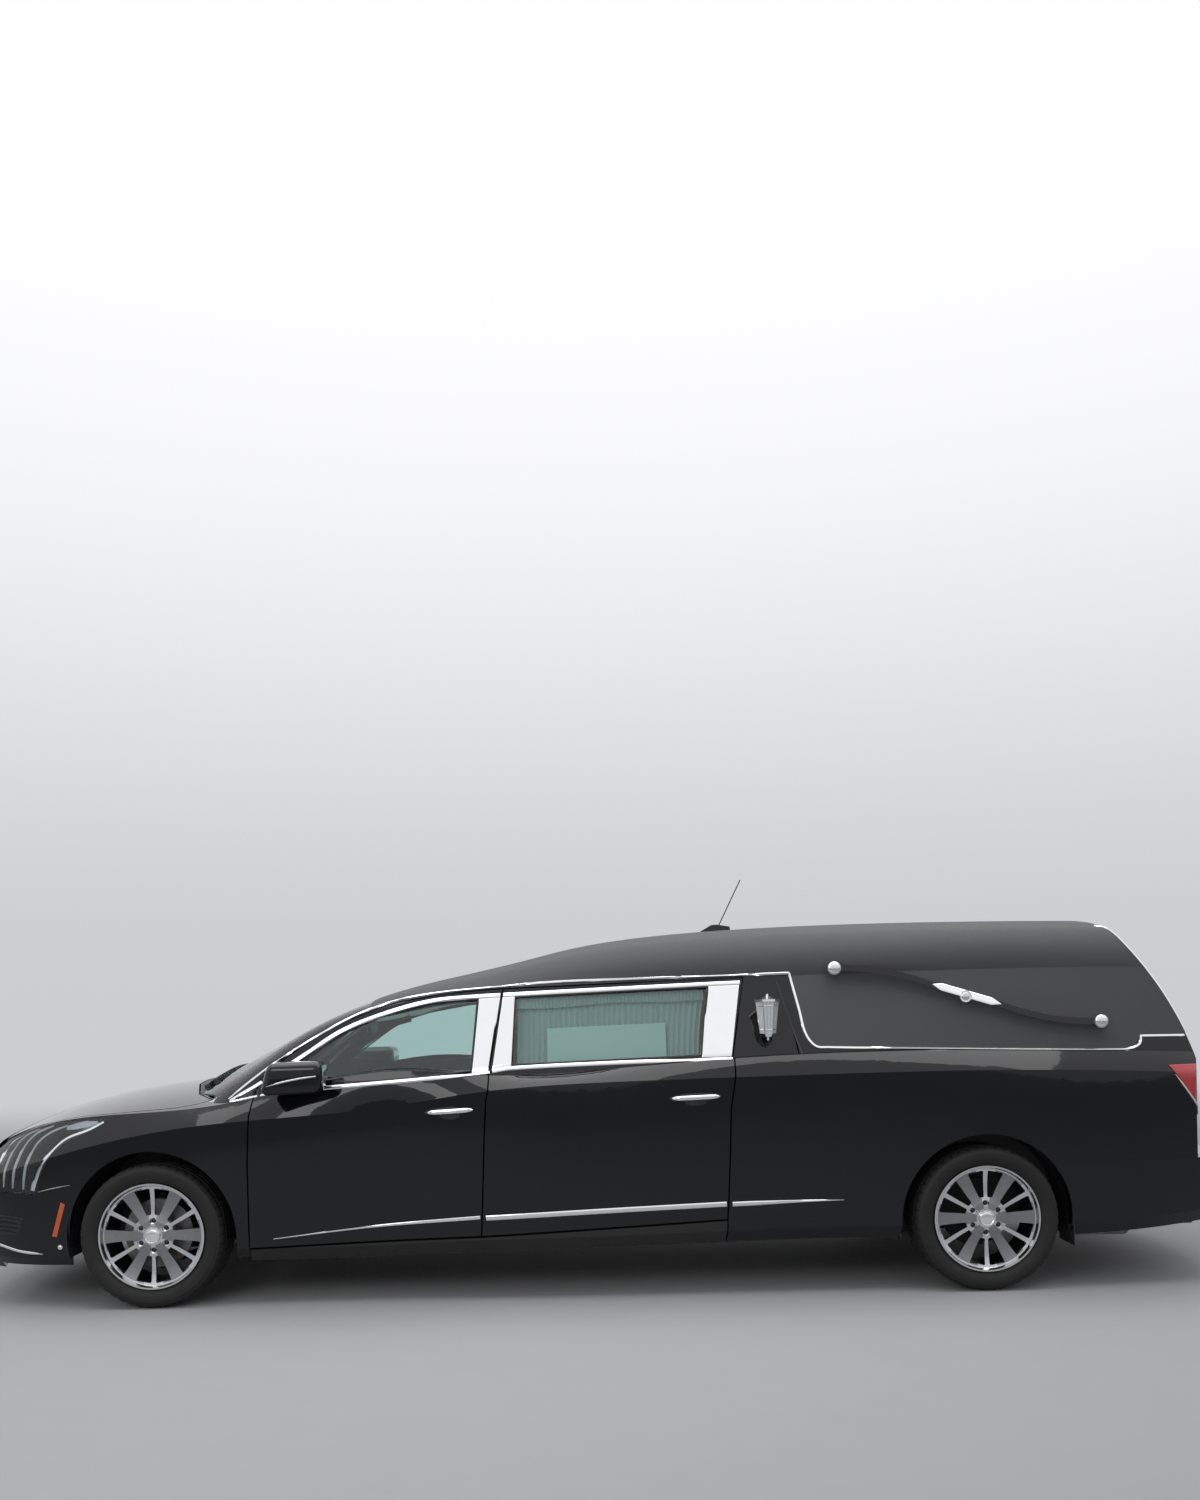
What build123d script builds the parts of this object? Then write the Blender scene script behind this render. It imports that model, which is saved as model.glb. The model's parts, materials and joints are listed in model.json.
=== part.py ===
from build123d import *
from math import cos, radians, sin
import os

# A landau-roofed hearse. Millimetres; X runs from nose to tail, Y to the right-hand side, Z up.
# Driving dimensions of the whole vehicle
LENGTH = 6300
HALF_WIDTH = 926
WHEELBASE = 3980
FRONT_OVERHANG = 1020
HALF_TRACK = 787
TYRE_RADIUS = 344
TYRE_WIDTH = 245
RIM_RADIUS = 252
ARCH_RADIUS = 405
FRONT_DOOR_LENGTH = 1110
SIDE_DOOR_LENGTH = 1165
DASH_SETBACK = 480

# Places along the car that follow from them
NOSE_X = -LENGTH / 2
TAIL_X = LENGTH / 2
FRONT_AXLE_X = NOSE_X + FRONT_OVERHANG
REAR_AXLE_X = FRONT_AXLE_X + WHEELBASE
A_POST_X = FRONT_AXLE_X + DASH_SETBACK
B_POST_X = A_POST_X + FRONT_DOOR_LENGTH
C_POST_X = B_POST_X + SIDE_DOOR_LENGTH

# Panel thicknesses and clearances
DOOR_WALL = 84
DOOR_FRAME_WALL = 38
ROOF_WALL = 45
SKIN_WALL = 35
POST_DEPTH = 40
GLASS_INSET = 4
GLASS_THICKNESS = 6
TAIL_WALL = 50
PANEL_GAP = 7
SEAT_GAP = 0.3
CUT_SLANT = 0.22
TUMBLE_START_Z = 1000
TUMBLE_SLOPE = 0.47
SIDE_BULGE = 12
SHOULDER_BULGE = 5

# Lower body, one row for each cross-section:
# x, floor_z, sill_y, crease_y, crease_z, belt_y, belt_z, crown_z
LOWER_STATIONS = [
    (NOSE_X - 20, 190, 500, 560, 560, 500, 690, 770),
    (FRONT_AXLE_X - 750, 178, 755, 800, 650, 672, 812, 886),
    (FRONT_AXLE_X - 470, 180, 822, 866, 730, 778, 892, 968),
    (FRONT_AXLE_X, 200, 868, 910, 835, 832, 930, 1040),
    (A_POST_X - 50, 212, 878, 922, 884, 848, 978, 1084),
    (B_POST_X - 60, 231, 880, 926, 994, 870, 1080, 1150),
    (C_POST_X + 25, 253, 880, 926, 1044, 870, 1130, 1190),
    (REAR_AXLE_X, 252, 880, 922, 1052, 846, 1146, 1200),
    (REAR_AXLE_X + 650, 262, 868, 904, 1036, 828, 1130, 1190),
    (TAIL_X - 250, 296, 818, 862, 1016, 792, 1112, 1170),
    (TAIL_X + 20, 330, 740, 786, 996, 712, 1094, 1150),
]

# Greenhouse, one row for each cross-section:
# x, base_y, base_z, cant_y, cant_z, shoulder_y, shoulder_z, crown_z
UPPER_STATIONS = [
    (FRONT_AXLE_X + 20, 836, 840, 800, 880, 560, 955, 1002),
    (A_POST_X - 122, 850, 900, 828, 972, 640, 1094, 1182),
    (A_POST_X + 114, 856, 950, 757, 1156, 610, 1246, 1300),
    (A_POST_X + 498, 862, 980, 712, 1371, 580, 1428, 1462),
    (B_POST_X - 218, 866, 1000, 700, 1466, 560, 1524, 1566),
    (B_POST_X + 373, 866, 1040, 704, 1507, 560, 1644, 1698),
    (C_POST_X - 102, 866, 1060, 704, 1517, 560, 1722, 1781),
    (C_POST_X + 675, 850, 1080, 702, 1530, 560, 1745, 1808),
    (REAR_AXLE_X + 250, 832, 1080, 700, 1538, 555, 1746, 1809),
    (REAR_AXLE_X + 650, 822, 1070, 697, 1535, 540, 1740, 1803),
    (TAIL_X + 20, 790, 1040, 660, 1500, 500, 1700, 1760),
]

# Nose and tail seen from the side, as (x, z) on the centre line
NOSE_TURN_RADIUS = 1900
TAIL_TURN_RADIUS = 1800
TAIL_PANEL_X = TAIL_X - 57
ROOF_TOP = 1830
BONNET_LIP_Z = 770
WINDSCREEN_HEAD_X = A_POST_X + 540

# Side cuts between panels, as (x offset from the named post, z)
CUT_A = [(-8, 275), (-9, 679), (-2, 844), (3, 913), (23, 992), (46, 1075)]
CUT_B = [(-12, 310), (-9, 393), (5, 773), (18, 962), (35, 1091), (93, 1490)]
CUT_C = [(-5, 366), (-1, 462), (13, 889), (37, 1114), (104, 1520)]
CANT_FRONT = [(304, 1272), (694, 1435), (892, 1466)]


def wire_through(points, bulges, x):
    """Closed wire at one station: each side is a line, or an arc through its bulge point."""
    edges = []
    for start, end, bulge in zip(points, points[1:] + points[:1], bulges):
        a = (x, start[0], start[1])
        b = (x, end[0], end[1])
        if bulge is None:
            edges.append(Line(a, b))
        else:
            edges.append(ThreePointArc(a, (x, bulge[0], bulge[1]), b))
    return Wire(edges)


def lower_section(row, inset, lid, floor):
    """Cross-section of the lower body, drawn in by inset, its lid and floor moved by the rest."""
    x, floor_z, sill_y, crease_y, crease_z, belt_y, belt_z, crown_z = row
    bottom = (sill_y - 25 - inset, floor_z + floor)
    sill = (sill_y + 12 - inset, floor_z + floor + 60)
    crease = (crease_y - inset, crease_z + min(lid, 0))
    belt = (belt_y - inset, belt_z + lid)
    right = [bottom, sill, crease, belt]
    side = ((sill[0] + crease[0]) / 2 + SIDE_BULGE, (sill[1] + crease[1]) / 2)
    shoulder = ((crease[0] + belt[0]) / 2 + SHOULDER_BULGE, (crease[1] + belt[1]) / 2)
    left = [(-y, z) for y, z in reversed(right)]
    bulges = [None, side, shoulder, (0, crown_z + lid), (-shoulder[0], shoulder[1]),
              (-side[0], side[1]), None, None]
    return wire_through(right + left, bulges, x)


def upper_section(row, inset, floor):
    """Cross-section of the greenhouse, drawn in by inset, its open foot moved down by floor."""
    x, base_y, base_z, cant_y, cant_z, shoulder_y, shoulder_z, crown_z = row
    base = (x, base_y - inset, base_z - floor)
    cant = (x, cant_y - inset, cant_z - inset / 2)
    shoulder = (x, shoulder_y - inset / 2, shoulder_z - inset)
    mirror = [(p[0], -p[1], p[2]) for p in (base, cant, shoulder)]
    roof = ThreePointArc(mirror[2], (x, 0, crown_z - inset), shoulder)
    flank = TangentArc(shoulder, cant, tangent=roof % 1)
    other_flank = TangentArc(mirror[2], mirror[1], tangent=(roof % 0) * -1)
    return Wire([roof, flank, Line(cant, base), Line(base, mirror[0]),
                 Line(mirror[0], mirror[1]), other_flank])


def lower_loft(inset=0, lid=0, floor=0):
    return Solid.make_loft([lower_section(row, inset, lid, floor) for row in LOWER_STATIONS])


def upper_loft(inset=0, floor=0):
    return Solid.make_loft([upper_section(row, inset, floor) for row in UPPER_STATIONS])


def upright(x, z):
    return (x, 0, z)


def profile_face(points, place=upright):
    """Face from corner points in side view; a point given as a pair of points is an arc."""
    edges = []
    start = points[0]
    for item in points[1:] + [points[0]]:
        if isinstance(item[0], tuple):
            through, end = item
            edges.append(ThreePointArc(place(*start), place(*through), place(*end)))
        else:
            end = item
            edges.append(Line(place(*start), place(*end)))
        start = end
    return Face(Wire(edges))


def prism(points, y0, y1, slant=0.0):
    """Side-view outline pushed from y0 to y1; slant moves it along X for each mm inboard."""
    face = profile_face(points).moved(Location((0, y0, 0)))
    return extrude(face, amount=abs(y1 - y0), dir=(slant, 1 if y1 > y0 else -1, 0))


def plan_prism(points, z0, z1):
    """Plan-view outline pushed up from z0 to z1."""
    face = Face(Wire(Polyline([(x, y, z0) for x, y in points], close=True).edges()))
    return extrude(face, amount=z1 - z0, dir=(0, 0, 1))


def block(x0, x1, y0, y1, z0, z1):
    """Box between opposite corners."""
    return Pos((x0 + x1) / 2, (y0 + y1) / 2, (z0 + z1) / 2) * Box(x1 - x0, y1 - y0, z1 - z0)


def both_sides(shape):
    """The shape and its mirror image across the centre plane."""
    return Compound(solids_of(shape) + solids_of(mirror(shape, about=Plane.XZ)))


def other_side(shape):
    return mirror(shape, about=Plane.XZ)


def solids_of(shape):
    return list(shape.solids())


def largest(shape, count=1):
    """The count biggest solids, so that slivers from a cut drop out."""
    ranked = sorted(solids_of(shape), key=lambda s: -s.volume)[:count]
    return ranked[0] if count == 1 else Compound(ranked)


def rod(radius, start, end):
    """Round bar between two points."""
    a = Vector(*start)
    b = Vector(*end)
    plane = Plane(origin=a, z_dir=b - a)
    return extrude(plane * Circle(radius), amount=(b - a).length)


def turned(points, centre_x):
    """Outline in the XZ plane turned about an upright axis at centre_x."""
    return revolve(profile_face(points), Axis((centre_x, 0, 0), (0, 0, 1)), 360)


def nose_envelope():
    """Everything behind the curved front face."""
    axis_x = NOSE_X + NOSE_TURN_RADIUS
    face = [(axis_x, 0), (NOSE_X + 90, 0), (NOSE_X + 60, 178),
            ((NOSE_X + 8, 300), (NOSE_X, 450)), (NOSE_X + 4, 600),
            ((NOSE_X + 34, 745), (NOSE_X + 130, 842)), (NOSE_X + 260, 930),
            (NOSE_X + 260, ROOF_TOP + 200), (axis_x, ROOF_TOP + 200)]
    return turned(face, axis_x) + block(axis_x - 500, TAIL_X + 400, -1200, 1200, 0, ROOF_TOP + 200)


def tail_envelope(bumper=False):
    """Everything ahead of the curved tail; the bumper stands further back than the door."""
    axis_x = TAIL_PANEL_X - TAIL_TURN_RADIUS
    lower = TAIL_X if bumper else TAIL_PANEL_X
    face = [(axis_x, 0), (lower - 60, 0), (lower - 40, 300),
            ((lower - 8, 380), (lower, 480)), (lower, 1000), (TAIL_PANEL_X, 1080),
            ((TAIL_PANEL_X - 163, 1437), (TAIL_PANEL_X - 330, 1669)),
            ((TAIL_PANEL_X - 443, 1762), (TAIL_PANEL_X - 613, 1806)),
            (TAIL_PANEL_X - 700, ROOF_TOP + 200), (axis_x, ROOF_TOP + 200)]
    return turned(face, axis_x) + block(NOSE_X - 400, axis_x + 600, -1200, 1200, 0, ROOF_TOP + 200)


def post_line(post_x, offsets):
    return [(post_x + dx, z) for dx, z in offsets]


def on_skin(point):
    """Point moved back so that the slanting cut meets the leaning glass side where it is drawn."""
    x, z = point
    return (x + CUT_SLANT * TUMBLE_SLOPE * max(0, z - TUMBLE_START_Z), z)


def side_prism(points, depth=300):
    """Left-hand side cut, slanting forward as it goes inboard."""
    placed = []
    for item in points:
        placed.append(tuple(on_skin(p) for p in item) if isinstance(item[0], tuple) else on_skin(item))
    return prism(placed, -HALF_WIDTH, -HALF_WIDTH + depth, slant=-CUT_SLANT) + prism(
        placed, -HALF_WIDTH, -HALF_WIDTH - 60, slant=0)


def shifted(points, dx=0.0, dz=0.0):
    moved = []
    for item in points:
        if isinstance(item[0], tuple):
            moved.append(tuple((x + dx, z + dz) for x, z in item))
        else:
            moved.append((item[0] + dx, item[1] + dz))
    return moved


def front_door_outline(gap=PANEL_GAP / 2):
    """Front door from the sill up to the cant rail, drawn in by gap from its shut lines."""
    front = shifted(post_line(A_POST_X, CUT_A), gap)
    rear = shifted(post_line(B_POST_X, CUT_B), -gap, 0)
    top = shifted(post_line(A_POST_X, CANT_FRONT), 0, -gap)
    front[0] = (front[0][0], front[0][1] + gap)
    rear[0] = (rear[0][0], rear[0][1] + gap)
    front[-1] = (front[-1][0], front[-1][1] - gap)
    rear[-1] = (rear[-1][0], rear[-1][1] - gap)
    return front + [(top[0], top[1]), (top[2], rear[-1])] + list(reversed(rear[:-1]))


def side_door_outline(gap=PANEL_GAP / 2):
    """Side door of the load space, between the middle and rear posts, drawn in by gap."""
    front = shifted(post_line(B_POST_X, CUT_B), gap)
    rear = shifted(post_line(C_POST_X, CUT_C), -gap)
    for line in (front, rear):
        line[0] = (line[0][0], line[0][1] + gap)
        line[-1] = (line[-1][0], line[-1][1] - gap)
    return front + [rear[-1]] + list(reversed(rear[:-1]))


def front_window_outline():
    """Opening in the front door, with the slim front corner of the glass."""
    return [(A_POST_X + 152, 1108), ((A_POST_X + 420, 1290), (A_POST_X + 660, 1378)),
            ((A_POST_X + 860, 1425), (A_POST_X + 1075, 1440)), (A_POST_X + 1048, 1098),
            (A_POST_X + 500, 1062)]


def side_window_outline():
    """Long opening in the side door."""
    return [(B_POST_X + 152, 1446), (C_POST_X - 71, 1476), (C_POST_X - 114, 1148),
            (B_POST_X + 136, 1122)]


def quarter_outline(gap=0.0):
    """Rear quarter from the side door to the tail, below the landau roof, grown by gap."""
    front = shifted(post_line(C_POST_X, CUT_C), PANEL_GAP / 2 - gap)
    front[-1] = (front[-1][0], front[-1][1] + gap)
    foot = [(C_POST_X - gap, 240)]
    vinyl = [(C_POST_X + 330, 1526), (C_POST_X + 365, 1354), (C_POST_X + 386, 1233),
             (C_POST_X + 430, 1172), (C_POST_X + 1010, 1150), (C_POST_X + 1936, 1124),
             (C_POST_X + 1998, 1142), (C_POST_X + 2030, 1193), (TAIL_X + 60, 1186)]
    return (foot + front + shifted(vinyl[:6], gap, gap) + shifted(vinyl[6:], -gap, gap)
            + [(TAIL_X + 60, 240)])


def arch(axle_x, radius=ARCH_RADIUS):
    """Room for one wheel, cut from the outside inwards."""
    disc = Plane(origin=(axle_x, -HALF_WIDTH - 60, TYRE_RADIUS), z_dir=(0, 1, 0)) * Circle(radius)
    return extrude(disc, amount=500) + block(
        axle_x - radius, axle_x + radius, -HALF_WIDTH - 60, -HALF_WIDTH + 440, 0, TYRE_RADIUS)


def bonnet_plan(gap):
    """Bonnet seen from above, with the given gap all round."""
    right = [(NOSE_X + 105, 300), (NOSE_X + 160, 560), (FRONT_AXLE_X - 530, 752),
             (FRONT_AXLE_X - 217, 806), (FRONT_AXLE_X + 100, 800), (FRONT_AXLE_X + 197, 778),
             (FRONT_AXLE_X + 258, 740)]
    rear = [(FRONT_AXLE_X + 150, 600), (FRONT_AXLE_X + 60, 320), (FRONT_AXLE_X + 31, 0)]
    half = [(NOSE_X + 88 + 2 * gap, 0)] + [(x + 2 * gap, y - gap) for x, y in right[:2]]
    half += [(x, y - gap) for x, y in right[2:-1]]
    half += [(right[-1][0] - 1.5 * gap, right[-1][1] - 0.3 * gap)]
    half += [(x - 1.2 * gap, y) for x, y in rear]
    other = [(x, -y) for x, y in reversed(half[1:-1])]
    return half + other


def windscreen_plan(gap):
    """Windscreen seen from above, with the given gap along its posts and header."""
    half = [(FRONT_AXLE_X - 40, 0), (FRONT_AXLE_X - 40, 790 - gap), (A_POST_X - 160, 770 - gap),
            (A_POST_X + 200, 672 - gap), (A_POST_X + 505 - gap, 600 - gap),
            (A_POST_X + 530 - gap, 0)]
    return half + [(x, -y) for x, y in reversed(half[1:-1])]


def headlamp_outline(gap):
    """Side outline of the lamp: a long top arm and a leg down the corner of the nose."""
    return [(NOSE_X + 120, 560 + gap), (FRONT_AXLE_X - 566 - gap, 548 + gap),
            (FRONT_AXLE_X - 552 - gap, 612), (FRONT_AXLE_X - 517 - gap, 690),
            (FRONT_AXLE_X - 458, 762 + gap), (FRONT_AXLE_X - 404, 803 + gap),
            (FRONT_AXLE_X - 303, 842 + gap), (FRONT_AXLE_X - 213 - 2 * gap, 902 - gap),
            (FRONT_AXLE_X - 475, 896 - gap), (FRONT_AXLE_X - 635, 858 - gap),
            (FRONT_AXLE_X - 774, 800 - gap), (NOSE_X + 120, 700 - gap)]


def side_y(x, z):
    """Half width of the glass side at one place, read from the greenhouse stations."""
    for near, far in zip(UPPER_STATIONS, UPPER_STATIONS[1:]):
        if x <= far[0]:
            break
    share = (x - near[0]) / (far[0] - near[0])
    base_y, base_z, cant_y, cant_z = [near[i] + share * (far[i] - near[i]) for i in (1, 2, 3, 4)]
    rise = min(1.0, max(0.0, (z - base_z) / (cant_z - base_z)))
    return base_y + rise * (cant_y - base_y)


# The big forms that the panels are cut from
def make_forms():
    nose = nose_envelope()
    tail = tail_envelope()
    outer = lower_loft() & nose
    forms = {}
    forms["outer"] = outer
    forms["outer_tail"] = outer & tail
    forms["outer_bumper"] = outer & tail_envelope(bumper=True)
    tail_room = tail.moved(Location((-TAIL_WALL, 0, 0)))
    forms["bay"] = lower_loft(SKIN_WALL, -SKIN_WALL, -120) & nose.moved(Location((SKIN_WALL, 0, 0)))
    forms["door_in"] = lower_loft(DOOR_WALL, 220, -60) & tail_room
    forms["post_out"] = lower_loft(DOOR_WALL + SEAT_GAP, 220, -60)
    forms["post_in"] = lower_loft(DOOR_WALL + POST_DEPTH, 220, -60)
    forms["green"] = upper_loft() & tail
    forms["skin_seat"] = lower_loft(-SEAT_GAP, SEAT_GAP)
    forms["glass_seat"] = upper_loft(-SEAT_GAP)
    forms["glass_out"] = upper_loft(GLASS_INSET, 20)
    forms["glass_in"] = upper_loft(GLASS_INSET + GLASS_THICKNESS, 40)
    forms["frame_in"] = upper_loft(DOOR_FRAME_WALL, 60) & tail_room
    forms["roof_in"] = upper_loft(ROOF_WALL, 80) & tail_room
    forms["rail_out"] = upper_loft(ROOF_WALL + SEAT_GAP, 40)
    forms["rail_in"] = upper_loft(ROOF_WALL + POST_DEPTH, 80)
    forms["nose_skin"] = outer - forms["bay"]
    forms["side_skin"] = forms["outer_tail"] - forms["door_in"]
    forms["green_skin"] = forms["green"] - forms["frame_in"]
    forms["pane_skin"] = forms["glass_out"] - forms["glass_in"]
    return forms


def front_wings(forms):
    """Steel wings from the bumper to the front doors, open over the wheels."""
    rear = shifted(post_line(A_POST_X, CUT_A), -PANEL_GAP / 2)
    region = side_prism([(NOSE_X + 80, 200), (rear[0][0], 200)] + rear
                        + [(A_POST_X - 30, 1100), (NOSE_X + 80, 1100)])
    wing = forms["nose_skin"] & region
    wing -= plan_prism(bonnet_plan(0), 500, 1300)
    wing -= prism(headlamp_outline(0), -HALF_WIDTH - 10, -400)
    wing -= bumper_region(SEAT_GAP)
    wing -= arch(FRONT_AXLE_X)
    outer, inner = BONNET_HINGE_Y - HINGE_ARM - SEAT_GAP, BONNET_HINGE_Y - SEAT_GAP
    wing = largest(wing) + block(HINGE_X - 110, HINGE_X + 40, outer, inner, HINGE_FOOT_Z, HINGE_FOOT_Z + 35)
    wing = wing + block(HINGE_X - 15, HINGE_X + 40, outer, inner, HINGE_FOOT_Z, HINGE_FOOT_Z + 88)
    return both_sides(largest(wing))


# Bonnet hinges: an arm on the bonnet beside a bracket on the wing, left-hand side
HINGE_X = FRONT_AXLE_X + 262
BONNET_HINGE_Y = -700
HINGE_ARM = 12
HINGE_FOOT_Z = 880


def headlamps(forms):
    """Clear-lensed lamps that wrap round the corners of the nose."""
    lens = forms["nose_skin"] & prism(
        headlamp_outline(SEAT_GAP), -HALF_WIDTH - 10, -400)
    lens -= plan_prism(bonnet_plan(-SEAT_GAP), 500, 1300)
    return both_sides(largest(lens))


def scuttle(forms):
    """Panel between bonnet and windscreen, under the wipers."""
    half = HALF_WIDTH - 300 - SEAT_GAP
    panel = forms["nose_skin"] & block(FRONT_AXLE_X + 20, BULKHEAD_X + 40, -half, half, 900, 1200)
    return largest(panel - plan_prism(bonnet_plan(0), 600, 1300))


def bonnet(forms):
    """Bonnet hinged at the scuttle."""
    panel = forms["nose_skin"] & plan_prism(bonnet_plan(PANEL_GAP), 640, 1300)
    panel -= block(NOSE_X - 50, NOSE_X + 300, -900, 900, 500, BONNET_LIP_Z)
    arm = block(HINGE_X - 130, HINGE_X - 50, BONNET_HINGE_Y, BONNET_HINGE_Y + HINGE_ARM, HINGE_FOOT_Z, 962)
    return largest(panel + arm + other_side(arm))


def bumper_region(gap):
    """Everything below and ahead of the bumper's seam, grown by gap."""
    seam = [(FRONT_AXLE_X - 250, 100), (FRONT_AXLE_X - 355, 624 + gap), (FRONT_AXLE_X - 560, 590 + gap),
            (FRONT_AXLE_X - 566, 546 + gap), (NOSE_X + 120 + gap, 558 + gap),
            (NOSE_X + 120 + gap, 700), (NOSE_X + 90 + gap, 900)]
    return prism([(NOSE_X - 100, 100)] + seam + [(NOSE_X - 100, 900)], -1000, 1000)


GRILLE_HALF_WIDTH = 372
GRILLE_FOOT_HALF_WIDTH = 250
GRILLE_TOP_Z = 765
GRILLE_FOOT_Z = 330


def grille_outline(gap):
    """Shield outline of the grille seen from ahead, as (y, z)."""
    w = GRILLE_HALF_WIDTH - gap
    f = GRILLE_FOOT_HALF_WIDTH - gap
    return [(-w, GRILLE_TOP_Z - gap), (w, GRILLE_TOP_Z - gap), (w - 20, 560),
            (f, GRILLE_FOOT_Z + 40), (f - 60, GRILLE_FOOT_Z + gap), (60 - f, GRILLE_FOOT_Z + gap),
            (-f, GRILLE_FOOT_Z + 40), (20 - w, 560)]


def grille_prism(gap, depth):
    face = Face(Wire(Polyline([(NOSE_X - 30, y, z) for y, z in grille_outline(gap)],
                              close=True).edges()))
    return extrude(face, amount=depth, dir=(1, 0, 0))


def front_bumper(forms):
    """Body-colour bumper and nose panel round the grille."""
    panel = forms["nose_skin"] & bumper_region(0)
    panel -= grille_prism(0, 400)
    panel -= intake_prism(0)
    panel -= other_side(intake_prism(0))
    panel -= plan_prism(bonnet_plan(0), BONNET_LIP_Z - PANEL_GAP, 1300)
    panel -= arch(FRONT_AXLE_X)
    panel -= other_side(arch(FRONT_AXLE_X))
    panel -= both_sides(prism(headlamp_outline(0), -HALF_WIDTH - 10, -400))
    return largest(panel)


# Lower intake on the left, seen from ahead: inner and outer ends and height at its top and foot
INTAKE_TOP = (-300, -742, 428)
INTAKE_FOOT = (-330, -716, 306)
INTAKE_SLATS = 4
SLAT_HEIGHT = 8
SLAT_INSET = 12


def intake_prism(gap):
    top_inner, top_outer, top_z = INTAKE_TOP
    foot_inner, foot_outer, foot_z = INTAKE_FOOT
    points = [(top_inner - gap, top_z - gap), (top_outer + gap, top_z - gap),
              (foot_outer + gap, foot_z + gap), (foot_inner - gap, foot_z + gap)]
    face = Face(Wire(Polyline([(NOSE_X - 30, y, z) for y, z in points], close=True).edges()))
    return extrude(face, amount=330, dir=(1, 0, 0))


def lower_grille(forms):
    """Slatted grids in the two lower intakes of the bumper."""
    foot_z, top_z = INTAKE_FOOT[2], INTAKE_TOP[2]
    pitch = (top_z - foot_z) / (INTAKE_SLATS + 1)
    grid = block(NOSE_X, NOSE_X + 330, -566, -554, foot_z, top_z)
    for i in range(1, INTAKE_SLATS + 1):
        z = foot_z + i * pitch
        grid = grid + block(NOSE_X, NOSE_X + 330, -800, -280, z - SLAT_HEIGHT / 2, z + SLAT_HEIGHT / 2)
    set_back = forms["nose_skin"].moved(Location((SLAT_INSET, 0, 0)))
    return both_sides(largest(grid & intake_prism(SEAT_GAP) & set_back))


GRILLE_BARS = 9
GRILLE_RIM = 22
GRILLE_DEPTH = 60
BAR_HEIGHT = 14


def grille(forms):
    """Bright shield grille: a rim and level bars that curve round with the nose."""
    ring = grille_prism(SEAT_GAP, 400) - grille_prism(GRILLE_RIM, 420)
    bars = []
    pitch = (GRILLE_TOP_Z - GRILLE_FOOT_Z) / (GRILLE_BARS + 1)
    for i in range(1, GRILLE_BARS + 1):
        z = GRILLE_FOOT_Z + i * pitch
        bars.append(block(NOSE_X - 30, NOSE_X + 300, -400, 400, z - BAR_HEIGHT / 2, z + BAR_HEIGHT / 2))
    bars.append(block(NOSE_X - 30, NOSE_X + 300, -8, 8, GRILLE_FOOT_Z, GRILLE_TOP_Z))
    field = Compound(bars) & grille_prism(GRILLE_RIM - 2, 400)
    axis_x = NOSE_X + NOSE_TURN_RADIUS
    back = [(axis_x, 0), (NOSE_X + GRILLE_DEPTH, 0), (NOSE_X + GRILLE_DEPTH, 1000), (axis_x, 1000)]
    whole = ring
    for bar in solids_of(field):
        whole = whole + bar
    return largest((whole & forms["outer"]) - turned(back, axis_x))


def windscreen(forms):
    """Laminated windscreen between the posts, curved in plan."""
    glass = forms["pane_skin"] & plan_prism(windscreen_plan(SEAT_GAP), 900, ROOF_TOP)
    glass -= plan_prism(bonnet_plan(-12), 600, 1300)
    return largest(glass - forms["outer"])


def door_shell(forms, outline, window):
    """One left-hand door: pressed lower panel and window frame in one piece."""
    cut = side_prism(outline)
    lower = forms["side_skin"] & cut
    upper = (forms["green_skin"] & cut) - prism(window, -HALF_WIDTH - 40, -HALF_WIDTH + 400)
    return largest(lower + upper)


def door_glass(forms, window):
    """Tinted pane that fills the door's window."""
    pane = forms["pane_skin"] & prism(window, -HALF_WIDTH - 40, -300)
    return largest(pane - forms["skin_seat"])


def quarters(forms):
    """Rear quarter panels with the pillar that carries the coach lamp."""
    cut = side_prism(quarter_outline())
    lower = forms["side_skin"] & cut
    upper = forms["green_skin"] & cut
    panel = lower + upper
    panel -= arch(REAR_AXLE_X)
    panel -= tail_opening(0)
    panel -= rear_bumper_region()
    panel -= tail_lamp_region(0)
    return both_sides(largest(panel))


BUMPER_TOP_Z = 610
BUMPER_WALL = 60


def rear_bumper_region():
    return block(REAR_AXLE_X + 300, TAIL_X + 100, -1100, 1100, 150, BUMPER_TOP_Z)


def rear_bumper(forms):
    """Rear bumper from arch to arch round the tail."""
    hollow = lower_loft(BUMPER_WALL, 200, -120) & tail_envelope(bumper=True).moved(
        Location((-BUMPER_WALL, 0, 0)))
    bar = (forms["outer_bumper"] - hollow) & block(
        REAR_AXLE_X + 300, TAIL_X + 100, -1100, 1100, 150, BUMPER_TOP_Z - SEAT_GAP)
    bar -= arch(REAR_AXLE_X)
    bar -= other_side(arch(REAR_AXLE_X))
    return largest(bar)


TAIL_DOOR_HALF_WIDTH = 640
TAIL_DOOR_TOP_HALF_WIDTH = 575
TAIL_DOOR_TOP_Z = 1700


def tail_outline(gap):
    """Tail door seen from behind, as (y, z); its free edge leans away more near the roof."""
    w = TAIL_DOOR_HALF_WIDTH - gap
    t = TAIL_DOOR_TOP_HALF_WIDTH - gap
    return [(-w, BUMPER_TOP_Z + gap), (w, BUMPER_TOP_Z + gap), (w, 1060),
            (t - gap, TAIL_DOOR_TOP_Z - gap), (-t, TAIL_DOOR_TOP_Z - gap), (-w, 1060)]


def tail_prism(points):
    face = Face(Wire(Polyline([(TAIL_X + 60, y, z) for y, z in points], close=True).edges()))
    return extrude(face, amount=900, dir=(-1, 0, 0))


def tail_opening(gap):
    return tail_prism(tail_outline(gap))


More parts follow.
